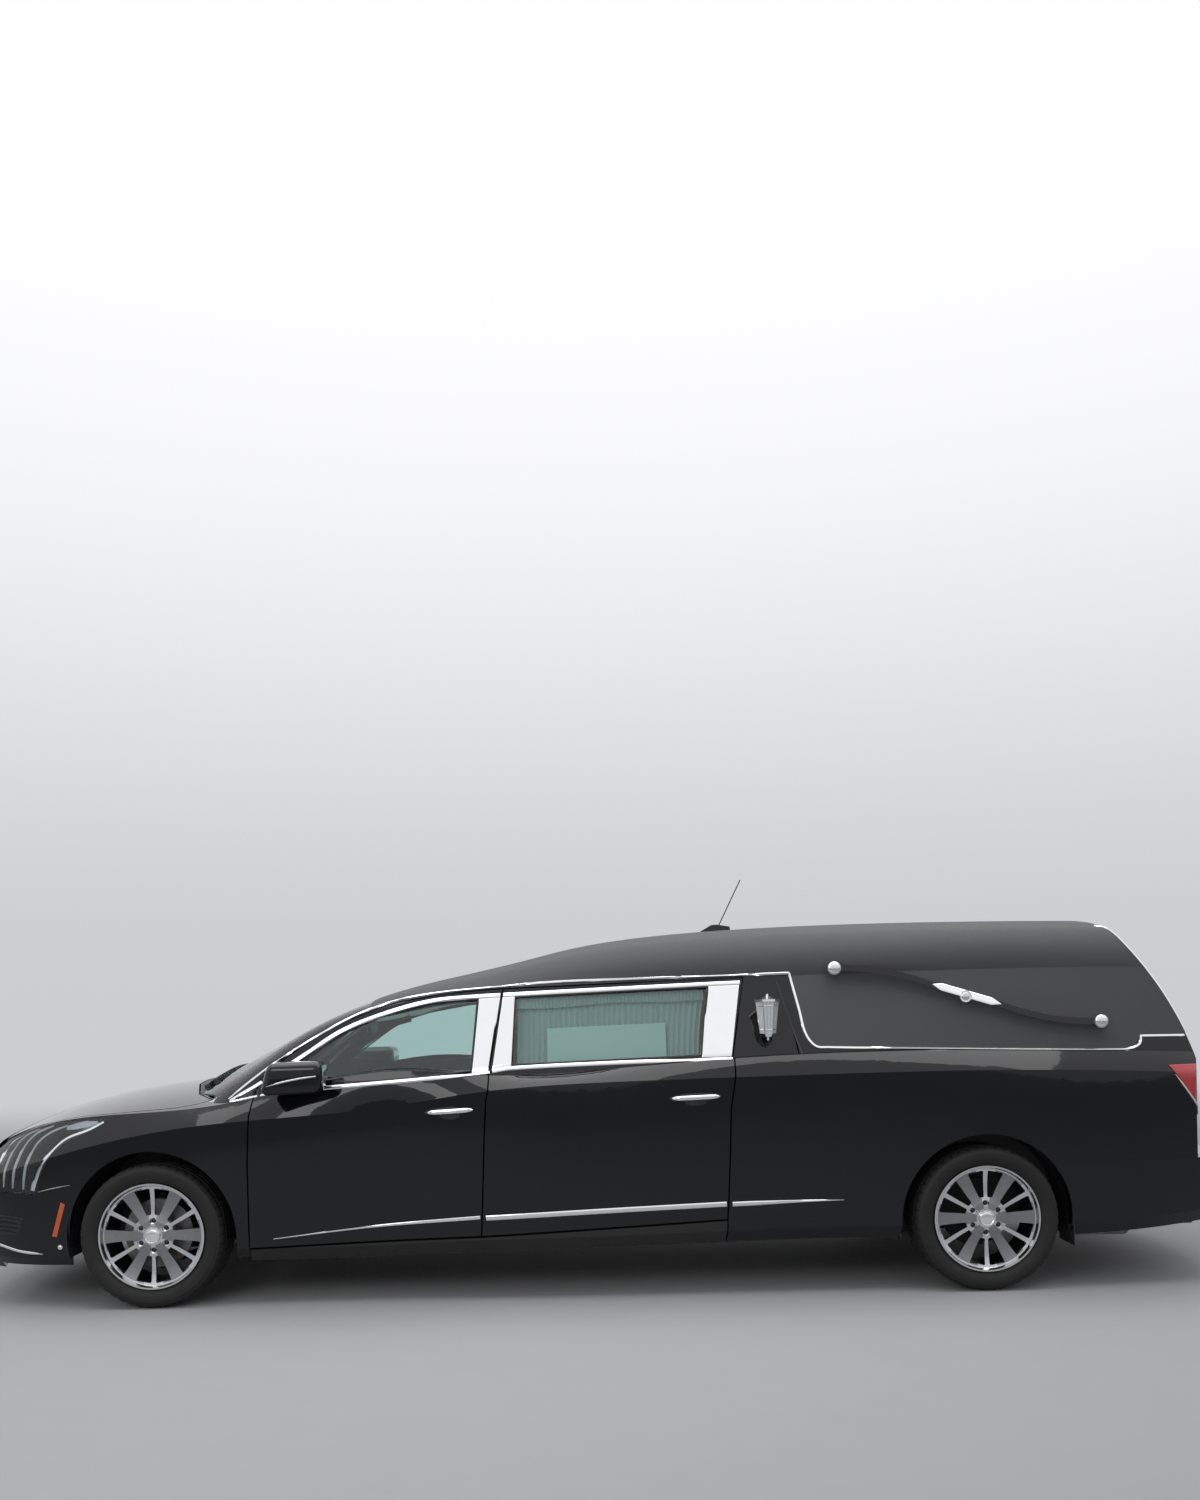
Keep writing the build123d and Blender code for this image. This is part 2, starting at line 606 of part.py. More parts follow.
TAIL_WINDOW = [(-520, 1130), (520, 1130), (455, 1600), (-455, 1600)]
PLATE_HALF_WIDTH = 175
PLATE_SPAN_Z = (770, 930)
PLATE_RECESS = 16


def tail_door(forms):
    """Side-hinged tail door with its window opening and the recess for the plate."""
    opening = tail_opening(PANEL_GAP)
    door = (forms["side_skin"] & opening) + (forms["green_skin"] & opening)
    recess = block(TAIL_PANEL_X - PLATE_RECESS, TAIL_X + 60,
                   -PLATE_HALF_WIDTH, PLATE_HALF_WIDTH, *PLATE_SPAN_Z)
    return largest(door - tail_prism(TAIL_WINDOW) - recess)


def tail_glass(forms):
    """Tinted pane of the tail door."""
    front = forms["green"].moved(Location((-GLASS_INSET, 0, 0)))
    back = forms["green"].moved(Location((-GLASS_INSET - GLASS_THICKNESS, 0, 0)))
    return largest((front - back) & tail_prism(TAIL_WINDOW))


def door_openings():
    """Holes in the left side that the two doors fill, a full panel gap larger than the doors."""
    return [side_prism(front_door_outline(-PANEL_GAP / 2)), side_prism(side_door_outline(-PANEL_GAP / 2))]


def roof(forms):
    """Landau roof: raised cap and the blind rear sides."""
    shell = forms["green"] - forms["roof_in"]
    cap = shell & block(WINDSCREEN_HEAD_X, TAIL_X, -1000, 1000, 1110, ROOF_TOP + 40)
    for hole in door_openings() + [side_prism(quarter_outline(SEAT_GAP))]:
        cap = cap - hole - other_side(hole)
    return largest(cap - tail_opening(0))


def frame(forms):
    """Posts, cant rails and windscreen header that carry roof and doors."""
    rails = forms["green"] & forms["rail_out"]
    ring = rails - forms["rail_in"]
    screen = forms["green"] - forms["rail_in"]
    pillar = screen & block(A_POST_X - 200, WINDSCREEN_HEAD_X - SEAT_GAP, -900, 0, 940, ROOF_TOP)
    pillar -= plan_prism(windscreen_plan(0), 900, ROOF_TOP)
    openings = door_openings()
    pillar -= openings[0]
    pillar -= forms["outer"]
    band = [(A_POST_X + 400, 1330), (A_POST_X + 892, 1412), (B_POST_X + 93, 1440),
            (C_POST_X + 104, 1470), (C_POST_X + 104, 1640), (B_POST_X + 93, 1580),
            (A_POST_X + 694, 1520), (A_POST_X + 400, 1480)]
    rail = ring & prism(band, -1000, 0)
    side = pillar + rail
    post_layer = forms["post_out"] - forms["post_in"]
    for post_x, offset, foot_z, joint_z in ((B_POST_X, CUT_B, 304, 1005), (C_POST_X, CUT_C, 360, 1050)):
        line = post_line(post_x, offset)
        strip = shifted(line, -110) + list(reversed(shifted(line, -30)))
        post = prism(strip, -1000, 0)
        side = side + (ring & post)
        foot = post_layer & post
        side = side + (foot & block(NOSE_X, TAIL_X, -1000, 0, foot_z, joint_z))
        side = side + (foot & forms["rail_out"] & block(NOSE_X, TAIL_X, -1000, 0, joint_z, 1100))
    return largest(side + other_side(side))


FLOOR_Z = 262
FLOOR_THICKNESS = 30
TUNNEL_HALF_WIDTH = 150
TUNNEL_TOP_Z = 430
HUMP_Z = 490
HUMP_HALF_LENGTH = 175
HALF_SHAFT_RADIUS = 22
BULKHEAD_X = A_POST_X - 60


def floor_pan(forms):
    """Floor, sills, tunnel, dash bulkhead and rear wheelhouses in one pressed unit."""
    room = lower_loft(DOOR_WALL + PANEL_GAP, -SKIN_WALL - SEAT_GAP, 0)
    floor = room & block(BULKHEAD_X, TAIL_X - 260, -930, 930, FLOOR_Z, FLOOR_Z + FLOOR_THICKNESS)
    sill = forms["outer_tail"] & side_prism([
        (A_POST_X - 8 + PANEL_GAP, 150), (C_POST_X - PANEL_GAP, 150),
        (C_POST_X - PANEL_GAP, 366 - PANEL_GAP), (B_POST_X, 310 - PANEL_GAP),
        (A_POST_X - 8 + PANEL_GAP, 275 - PANEL_GAP)])
    sill -= block(-3000, 3000, -780, 780, 0, 1000)
    floor = floor + sill + other_side(sill)
    tunnel = block(A_POST_X - 60, B_POST_X + 200, -TUNNEL_HALF_WIDTH, TUNNEL_HALF_WIDTH,
                   FLOOR_Z, TUNNEL_TOP_Z)
    floor = floor + (tunnel - tunnel.moved(Location((0, 0, -FLOOR_THICKNESS))))
    hump = block(REAR_AXLE_X - HUMP_HALF_LENGTH, REAR_AXLE_X + HUMP_HALF_LENGTH, -500, 500, FLOOR_Z, HUMP_Z)
    inside = HUMP_HALF_LENGTH - FLOOR_THICKNESS
    cave = block(REAR_AXLE_X - inside, REAR_AXLE_X + inside, -500 + FLOOR_THICKNESS,
                 500 - FLOOR_THICKNESS, FLOOR_Z - 10, HUMP_Z - FLOOR_THICKNESS)
    floor = floor + hump - cave
    shaft_z = TYRE_RADIUS - 12
    floor -= rod(HALF_SHAFT_RADIUS + 12, (REAR_AXLE_X, -640, shaft_z), (REAR_AXLE_X, 640, shaft_z))
    bulkhead = room & block(BULKHEAD_X, BULKHEAD_X + 40, -900, 900, FLOOR_Z, 1100)
    for s in (-1, 1):
        y0, y1 = sorted((s * RAIL_INNER_Y, s * (RAIL_INNER_Y + RAIL_WIDTH)))
        bulkhead = bulkhead + block(NOSE_X + 150, BULKHEAD_X + 10, y0, y1, RAIL_FOOT_Z, RAIL_TOP_Z)
    return largest(floor + bulkhead - arch(REAR_AXLE_X) - other_side(arch(REAR_AXLE_X)))


def tyre():
    """Road tyre with rounded shoulders, on its rim."""
    half = TYRE_WIDTH / 2
    bead = RIM_RADIUS - 8
    foot = RIM_HALF_WIDTH - 4 - SEAT_GAP
    outline = [(foot, bead), (foot + 3, RIM_RADIUS + 2),
               ((half - 3, RIM_RADIUS + 14), (half, RIM_RADIUS + 42)),
               ((half - 8, TYRE_RADIUS - 18), (half - 32, TYRE_RADIUS - 3)),
               ((0, TYRE_RADIUS), (32 - half, TYRE_RADIUS - 3)),
               ((8 - half, TYRE_RADIUS - 18), (-half, RIM_RADIUS + 42)),
               ((3 - half, RIM_RADIUS + 14), (-foot - 3, RIM_RADIUS + 2)), (-foot, bead)]
    return wheel_turn(outline)


def wheel_turn(outline):
    """Outline as (width from the wheel's middle, radius) turned about the axle, which is the Y axis."""
    edges = []
    start = outline[0]
    for item in outline[1:] + [outline[0]]:
        if isinstance(item[0], tuple):
            through, end = item
            edges.append(ThreePointArc((0, start[0], start[1]), (0, through[0], through[1]),
                                       (0, end[0], end[1])))
        else:
            end = item
            edges.append(Line((0, start[0], start[1]), (0, end[0], end[1])))
        start = end
    return revolve(Face(Wire(edges)), Axis((0, 0, 0), (0, 1, 0)), 360)


RIM_HALF_WIDTH = 104
BARREL_WALL = 8
FACE_OFFSET = 70
HUB_RADIUS = 72
AXLE_RADIUS = 34
SPOKE_PAIRS = 6
POCKET_INNER_RADIUS = 98
POCKET_OUTER_RADIUS = 227
WIDE_SPOKE = (21, 32)
NARROW_SPOKE = (8, 11)
POCKET_CORNER = 7
BOLT_CIRCLE_RADIUS = 70
BOLT_POCKET_RADIUS = 16
CAP_RADIUS = 37


def beside_spoke(radius, half_width, angle, turn):
    """Point on a spoke's edge, as (x, z), at a radius along a spoke that stands at the angle."""
    a = radians(angle)
    return (radius * cos(a) - turn * half_width * sin(a), radius * sin(a) + turn * half_width * cos(a))


def spoke_pocket(angle, turn):
    """Opening between the wide spoke at the angle and the narrow spoke next to it."""
    narrow = angle + turn * 180 / SPOKE_PAIRS
    inner, outer = POCKET_INNER_RADIUS, POCKET_OUTER_RADIUS
    corners = [beside_spoke(inner, WIDE_SPOKE[0], angle, turn),
               beside_spoke(outer, WIDE_SPOKE[1], angle, turn),
               beside_spoke(outer, NARROW_SPOKE[1], narrow, -turn),
               beside_spoke(inner, NARROW_SPOKE[0], narrow, -turn)]
    sketch = Plane.XZ * Polygon(*corners, align=None)
    return extrude(fillet(sketch.vertices(), POCKET_CORNER), amount=2 * RIM_HALF_WIDTH, both=True)


def rim():
    """Alloy wheel: barrel, dished face and openings between wide and narrow spokes."""
    outer = RIM_RADIUS - 8 - SEAT_GAP
    flange = RIM_RADIUS
    w = RIM_HALF_WIDTH
    barrel = [(w + 8, flange), (w, flange), (w - 4, outer), (4 - w, outer), (-w, flange),
              (-w - 8, flange), (-w - 8, flange - 10), (8 - w, outer - BARREL_WALL - 6),
              (w - 12, outer - BARREL_WALL), (w + 8, flange - 8)]
    face = [(FACE_OFFSET - 10, AXLE_RADIUS + SEAT_GAP), (FACE_OFFSET + 16, AXLE_RADIUS + SEAT_GAP),
            (FACE_OFFSET + 16, 0), (FACE_OFFSET + 30, 0), (FACE_OFFSET + 28, CAP_RADIUS - 6),
            (FACE_OFFSET + 20, CAP_RADIUS), (FACE_OFFSET + 18, HUB_RADIUS),
            ((FACE_OFFSET + 12, 160), (FACE_OFFSET + 24, outer - 3)),
            (FACE_OFFSET - 2, outer - 3), ((FACE_OFFSET - 12, 160), (FACE_OFFSET - 26, HUB_RADIUS)),
            (FACE_OFFSET - 26, AXLE_RADIUS + SEAT_GAP)]
    disc = wheel_turn(face)
    pitch = 360 / SPOKE_PAIRS
    for i in range(SPOKE_PAIRS):
        for turn in (-1, 1):
            disc = disc - spoke_pocket(i * pitch, turn)
        x, z = beside_spoke(BOLT_CIRCLE_RADIUS, 0, (i + 0.5) * pitch, 1)
        disc = disc - rod(BOLT_POCKET_RADIUS, (x, FACE_OFFSET + 4, z), (x, FACE_OFFSET + 60, z))
    return largest(wheel_turn(barrel) + disc)


def on_axle(piece, x, side):
    """Wheel piece moved to its axle, its face turned outwards."""
    facing = piece if side > 0 else other_side(piece)
    return facing.moved(Location((x, side * HALF_TRACK, TYRE_RADIUS)))


KINGPIN_OFFSET = 67
KINGPIN_Y = HALF_TRACK - KINGPIN_OFFSET
DISC_RADIUS = 165


def knuckle(side):
    """Front upright with spindle and brake disc, turning on its two ball joints."""
    x = FRONT_AXLE_X
    z = TYRE_RADIUS
    spindle = rod(AXLE_RADIUS, (x, -KINGPIN_Y, z), (x, -HALF_TRACK - FACE_OFFSET - 14, z))
    disc = rod(DISC_RADIUS, (x, -KINGPIN_Y - 52, z), (x, -KINGPIN_Y - 76, z))
    post = block(x - 32, x + 32, -KINGPIN_Y - 52, -KINGPIN_Y + 22, z - 130, z + 130)
    shape = spindle + disc + post
    return largest(shape if side < 0 else other_side(shape))


ENGINE_FOOT_Z = 260
RAIL_INNER_Y = 290
RAIL_WIDTH = 60
RAIL_FOOT_Z = 530
RAIL_TOP_Z = 600


def front_suspension():
    """Crossmember with upper and lower arms that end at the ball joints."""
    x = FRONT_AXLE_X
    z = TYRE_RADIUS
    member = block(x - 60, x + 60, -330, 330, 190, ENGINE_FOOT_Z - SEAT_GAP)
    for s in (-1, 1):
        for level in (-158, 158):
            y = s * KINGPIN_Y
            member = member + rod(16, (x - 130, s * 300, z + level), (x, y, z + level))
            member = member + rod(16, (x + 130, s * 300, z + level), (x, y, z + level))
            member = member + Pos(x, y, z + level) * Cylinder(24, 2 * (28 - SEAT_GAP))
        y0, y1 = sorted((s * 274, s * 326))
        member = member + block(x - 160, x + 160, y0, y1, 180, RAIL_FOOT_Z - SEAT_GAP)
    return largest(member)


def rear_suspension():
    """Rear crossmember, trailing arms and hub spindles."""
    x = REAR_AXLE_X
    z = TYRE_RADIUS
    shape = block(x - 70, x + 70, -420, 420, 270, 330)
    shape = shape + Pos(x, 0, 320) * Sphere(110)
    for s in (-1, 1):
        shape = shape + rod(HALF_SHAFT_RADIUS, (x, s * 100, z - 12), (x, s * 640, z - 12))
        shape = shape + rod(AXLE_RADIUS, (x, s * 640, z), (x, s * (HALF_TRACK + FACE_OFFSET + 14), z))
        shape = shape + rod(DISC_RADIUS, (x, s * 662, z), (x, s * 686, z))
        shape = shape + rod(20, (x - 420, s * 560, 238), (x, s * 640, z - 60))
        shape = shape + rod(24, (x - 410, s * 560, 225), (x - 410, s * 560, FLOOR_Z - SEAT_GAP))
        shape = shape + block(x - 40, x + 40, s * 640 - 30, s * 640 + 30, z - 90, z + 90)
    return largest(shape)


def engine():
    """Engine and gearbox as one plain block at its place behind the front axle."""
    motor = block(FRONT_AXLE_X - 330, FRONT_AXLE_X + 330, -260, 260, ENGINE_FOOT_Z, 800)
    return motor + block(FRONT_AXLE_X + 330, BULKHEAD_X - 10, -140, 140, 275, 620)


def fuel_tank():
    return block(REAR_AXLE_X - 820, REAR_AXLE_X - 430, -160, 520, 150, FLOOR_Z - SEAT_GAP)


EXHAUST_RADIUS = 30
EXHAUST_Y = -240
SILENCER_X = REAR_AXLE_X + 480
SILENCER_LENGTH = 400
SILENCER_HEIGHT = 100
TAILPIPE_RADIUS = 27


def exhaust():
    """Exhaust pipe under the floor, with a flat silencer and two tailpipes behind the axle."""
    z = FLOOR_Z - EXHAUST_RADIUS - SEAT_GAP
    pipe = rod(EXHAUST_RADIUS, (A_POST_X + 100, EXHAUST_Y, z), (SILENCER_X + 20, EXHAUST_Y, z))
    silencer = block(SILENCER_X, SILENCER_X + SILENCER_LENGTH, -420, 420,
                     FLOOR_Z - SEAT_GAP - SILENCER_HEIGHT, FLOOR_Z - SEAT_GAP)
    silencer = fillet(silencer.edges().filter_by(Axis.Y), SILENCER_HEIGHT / 3)
    shape = pipe + silencer
    for s in (-1, 1):
        shape = shape + rod(TAILPIPE_RADIUS, (SILENCER_X + SILENCER_LENGTH - 20, s * 330, z - 10),
                            (TAIL_X - 60, s * 330, z - 10))
    return largest(shape)


SEAT_ROUND = 42


def seat(side):
    """One front seat: cushion on its plinth and backrest."""
    x = B_POST_X - 330
    y = side * 390
    cushion = block(x - 300, x + 200, y - 250, y + 250, 430, 560)
    cushion = fillet(cushion.edges().filter_by(Axis.Y), SEAT_ROUND)
    plinth = block(x - 200, x + 150, y - 180, y + 180, FLOOR_Z + FLOOR_THICKNESS + SEAT_GAP, 430)
    back = prism([(x + 130, 500), (x + 240, 500), ((x + 322, 800), (x + 380, 1080)),
                  ((x + 342, 1112), (x + 290, 1090)), ((x + 186, 800), (x + 122, 540))], y - 240, y + 240)
    head = prism([(x + 320, 1080), (x + 380, 1080), ((x + 412, 1180), (x + 416, 1250)),
                  ((x + 385, 1275), (x + 350, 1262)), ((x + 328, 1170), (x + 316, 1100))], y - 140, y + 140)
    return largest(cushion + plinth + back + head)


COLUMN_RADIUS = 28
COLUMN_LINE = ((A_POST_X + 440, -390, 880), (A_POST_X + 290, -390, 810))


def dashboard(forms):
    body = prism([(BULKHEAD_X + 40 + SEAT_GAP, 620), (BULKHEAD_X + 40 + SEAT_GAP, 960),
                  (A_POST_X + 180, 985), (A_POST_X + 330, 930), (A_POST_X + 300, 650)], -740, 740)
    column = rod(COLUMN_RADIUS + SEAT_GAP, *COLUMN_LINE)
    return largest((body & forms["post_in"]) - column)


def steering_wheel():
    """Steering wheel and column in front of the left seat."""
    plane = Plane(origin=(A_POST_X + 440, -390, 880), z_dir=(0.9, 0, 0.42))
    ring = Location(plane) * Torus(185, 14)
    hub = extrude(plane * Circle(60), amount=30, both=True)
    spokes = extrude(plane * Rectangle(30, 350), amount=8, both=True)
    column = rod(COLUMN_RADIUS, *COLUMN_LINE)
    return largest(ring + hub + spokes + column)


DECK_Z = 640


def casket_deck():
    """Flat load deck with its rollers and side ledges."""
    deck = block(B_POST_X + 250, TAIL_X - 330, -560, 560, DECK_Z - 40, DECK_Z)
    for x0, x1 in ((B_POST_X + 250, REAR_AXLE_X - 500), (REAR_AXLE_X + 500, TAIL_X - 330)):
        leg = block(x0, x1, -520, -480, FLOOR_Z + FLOOR_THICKNESS + SEAT_GAP, DECK_Z - 40)
        deck = deck + leg + other_side(leg)
    return largest(deck)


# Door mirror housing: distance from the centre plane, length, height and corner radius of its two ends
MIRROR_X = A_POST_X + 252
MIRROR_Z = 1099
MIRROR_INNER = (890, 262, 112, 44)
MIRROR_OUTER = (1085, 214, 92, 42)
MIRROR_LEAN = 24


def mirror_body(forms):
    """Left door mirror on its foot at the front corner of the window."""
    ends = []
    for (y, length, height, corner), shift in ((MIRROR_INNER, 0), (MIRROR_OUTER, MIRROR_LEAN)):
        plane = Plane(origin=(MIRROR_X + shift, -y, MIRROR_Z), z_dir=(0, -1, 0), x_dir=(1, 0, 0))
        ends.append(plane * RectangleRounded(length, height, corner))
    foot = rod(26, (MIRROR_X + 20, -840, MIRROR_Z - 60), (MIRROR_X + 10, -920, MIRROR_Z - 20))
    return largest((loft(ends) + foot) - forms["skin_seat"] - forms["glass_seat"])


# Landau iron seen from the side: (x from the rear axle, z), its knobs at the two ends
LANDAU_LINE = [(-675, 1556), (-450, 1536), (-210, 1468), (130, 1358), (350, 1292), (596, 1271)]
LANDAU_HALF_HEIGHT = 15
LANDAU_STANDOFF = 20
LANDAU_THICKNESS = 20
LANDAU_KNOB_RADIUS = 31


def landau_bars(forms):
    """Landau irons: a flat S that stands off the roof side between two round knobs."""
    line = [(REAR_AXLE_X + x, z) for x, z in LANDAU_LINE]
    top = shifted(line, 0, LANDAU_HALF_HEIGHT)
    foot = shifted(line, 0, -LANDAU_HALF_HEIGHT)
    outline = [top[0], (top[1], top[2]), top[3], (top[4], top[5]),
               foot[5], (foot[4], foot[3]), foot[2], (foot[1], foot[0])]
    near, far, middle = [Vector(x, -side_y(x, z), z) for x, z in (line[0], line[-1], line[2])]
    lean = (far - near).cross(middle - near)

    def beside_roof(x, z):
        y = near.Y - (lean.X * (x - near.X) + lean.Z * (z - near.Z)) / lean.Y
        return (x, y - LANDAU_STANDOFF, z)

    bar = extrude(profile_face(outline, beside_roof), amount=LANDAU_THICKNESS, dir=(0, -1, 0))
    for x, z in (line[0], line[-1]):
        y = -side_y(x, z) - LANDAU_STANDOFF - LANDAU_THICKNESS - 6
        plane = Plane(origin=(x, y, z), z_dir=(0, 1, 0))
        bar = bar + extrude(plane * Circle(LANDAU_KNOB_RADIUS), amount=LANDAU_THICKNESS + 12)
        bar = bar + extrude(plane * Circle(LANDAU_KNOB_RADIUS / 2), amount=90)
    return both_sides(largest(bar - forms["glass_seat"]))


# Carriage lantern in rings from its foot up: height above the foot, radius across the corners
COACH_LAMP_X = C_POST_X + 202
COACH_LAMP_FOOT_Z = 1213
LANTERN_RINGS = [(0, 5), (12, 9), (18, 24), (34, 36), (184, 52),
                 (186, 60), (196, 60), (206, 30), (214, 8), (222, 6)]
LANTERN_SIDES = 6
LANTERN_ARM_RADIUS = 9
LANTERN_ARM_RISE = 70


def coach_lamps(forms):
    """Tapered six-sided carriage lanterns on the quarter pillars, each on one arm."""
    widest = max(radius for _, radius in LANTERN_RINGS)
    y = -side_y(COACH_LAMP_X, COACH_LAMP_FOOT_Z) - widest
    lamp = None
    for (low, foot), (high, head) in zip(LANTERN_RINGS, LANTERN_RINGS[1:]):
        rings = [Pos(COACH_LAMP_X, y, COACH_LAMP_FOOT_Z + z) * RegularPolygon(radius, LANTERN_SIDES)
                 for z, radius in ((low, foot), (high, head))]
        stage = loft(rings)
        lamp = stage if lamp is None else lamp + stage
    arm_z = COACH_LAMP_FOOT_Z + LANTERN_ARM_RISE
    lamp = lamp + rod(LANTERN_ARM_RADIUS, (COACH_LAMP_X, y, arm_z), (COACH_LAMP_X, y + 2 * widest, arm_z))
    return both_sides(largest(lamp - forms["glass_seat"]))


def tail_lamp_region(gap):
    """Space of the left tail lamp at the corner of the tail, its sharp front corner drawn in most."""
    outline = [(TAIL_X - 317 + 4 * gap, 1056 - gap), (TAIL_X + 50, 1064 - gap), (TAIL_X + 50, 700 + gap),
               (TAIL_X - 110 + gap, 700 + gap), (TAIL_X - 125 + gap, 830), (TAIL_X - 250, 1012 + gap)]
    return prism(outline, -1000, -TAIL_DOOR_HALF_WIDTH - 8 - gap)


def tail_lamps(forms):
    """Upright tail lamps at the corners of the tail."""
    lamp = forms["side_skin"] & tail_lamp_region(SEAT_GAP)
    return both_sides(largest(lamp))


ANTENNA_X = C_POST_X - 38
ANTENNA_FOOT_LENGTH = 166
ANTENNA_FOOT_HALF_WIDTH = 18


def antenna(forms):
    """Roof antenna: a low fin with a whip that leans back."""
    x, z = ANTENNA_X, 1790
    fin = prism([(x, z), (x + ANTENNA_FOOT_LENGTH, z), (x + ANTENNA_FOOT_LENGTH - 6, z + 24),
                 (x + 90, z + 36), (x + 60, z + 34)], -ANTENNA_FOOT_HALF_WIDTH, ANTENNA_FOOT_HALF_WIDTH)
    fin = largest(fin - forms["glass_seat"])
    return largest(fin + rod(3, (x + 100, 0, z + 26), (x + 226, 0, z + 280)))


# Wipers in plan, as (x from the front axle, y): spindle, then the two ends of the blade
WIPER_LINES = [((142, -470), (172, -440), (196, 110)), ((128, 140), (186, 150), (222, 680))]
WIPER_HEIGHT = 16
WIPER_ARM_HALF_WIDTH = 9
WIPER_BLADE_HALF_WIDTH = 6
WIPER_SPINDLE_RADIUS = 13


def plan_strip(start, end, half_width):
    """Upright slab over the line between two points seen from above."""
    along = Vector(end[0] - start[0], end[1] - start[1]).normalized()
    dx, dy = -along.Y * half_width, along.X * half_width
    outline = [(start[0] + dx, start[1] + dy), (end[0] + dx, end[1] + dy),
               (end[0] - dx, end[1] - dy), (start[0] - dx, start[1] - dy)]
    return plan_prism(outline, 900, 1200)


def wipers(forms):
    """Two wipers parked on the foot of the windscreen, following its curve."""
    room = upper_loft(-WIPER_HEIGHT) & block(FRONT_AXLE_X + 100, FRONT_AXLE_X + 260, -700, 700, 900, 1200)
    room = room - forms["skin_seat"] - forms["glass_out"].moved(Location((0, 0, SEAT_GAP)))
    pair = []
    for line in WIPER_LINES:
        spindle, near, far = [(FRONT_AXLE_X + x, y) for x, y in line]
        middle = ((near[0] + far[0]) / 2, (near[1] + far[1]) / 2)
        plan = plan_strip(spindle, middle, WIPER_ARM_HALF_WIDTH)
        plan = plan + plan_strip(near, far, WIPER_BLADE_HALF_WIDTH)
        plan = plan + rod(WIPER_SPINDLE_RADIUS, (*spindle, 900), (*spindle, 1200))
        pair.append(largest(room & plan))
    return Compound(pair)


# Ledge below the side door's window, and what stands on it parallel to the leaning glass
LEDGE_HEIGHT = 14
LEDGE_INNER_Y = 750
LEDGE_FRONT_X = B_POST_X + 150
LEDGE_REAR_X = C_POST_X - 128
LEDGE_FRONT_Z = 1096
LEDGE_RISE = 24
GLASS_LEAN = 0.347
CURTAIN_TOP_Z = 1424
CURTAIN_THICKNESS = 22
CURTAIN_FOOT_Y = 776
SIGN_LENGTH = 580
SIGN_HEIGHT = 190
SIGN_THICKNESS = 5
SIGN_FRONT_X = B_POST_X + 306
SIGN_FOOT_Y = 785


def leaning_plate(outline, foot_y, thickness):
    """Left-hand plate of the given side outline, leaning inwards as the glass does."""
    foot_z = outline[0][1]
    face = profile_face(outline, lambda x, z: (x, -foot_y + GLASS_LEAN * (z - foot_z), z))
    return extrude(face, amount=thickness, dir=(0, 1, 0))


def ledge(forms):
    """Shelf along the foot of the side door's window that carries curtain and board."""
    shelf = prism([(LEDGE_FRONT_X, LEDGE_FRONT_Z), (LEDGE_REAR_X, LEDGE_FRONT_Z + LEDGE_RISE),
                   (LEDGE_REAR_X, LEDGE_FRONT_Z + LEDGE_RISE - LEDGE_HEIGHT),
                   (LEDGE_FRONT_X, LEDGE_FRONT_Z - LEDGE_HEIGHT)], -HALF_WIDTH, -LEDGE_INNER_Y)
    return shelf & forms["glass_out"]


def curtain():
    """Pleated curtain behind the side glass, as one plain slab."""
    foot = LEDGE_FRONT_Z + SEAT_GAP
    return leaning_plate([(LEDGE_FRONT_X, foot), (LEDGE_REAR_X, foot + LEDGE_RISE),
                          (LEDGE_REAR_X, CURTAIN_TOP_Z), (LEDGE_FRONT_X, CURTAIN_TOP_Z)],
                         CURTAIN_FOOT_Y, CURTAIN_THICKNESS)


def sign_board():
    """Blank board that stands on the ledge beside the left-hand side glass."""
    slope = LEDGE_RISE / (LEDGE_REAR_X - LEDGE_FRONT_X)
    foot = LEDGE_FRONT_Z + SEAT_GAP + slope * (SIGN_FRONT_X - LEDGE_FRONT_X)
    rise = slope * SIGN_LENGTH
    return leaning_plate([(SIGN_FRONT_X, foot), (SIGN_FRONT_X + SIGN_LENGTH, foot + rise),
                          (SIGN_FRONT_X + SIGN_LENGTH, foot + rise + SIGN_HEIGHT),
                          (SIGN_FRONT_X, foot + SIGN_HEIGHT)], SIGN_FOOT_Y, SIGN_THICKNESS)


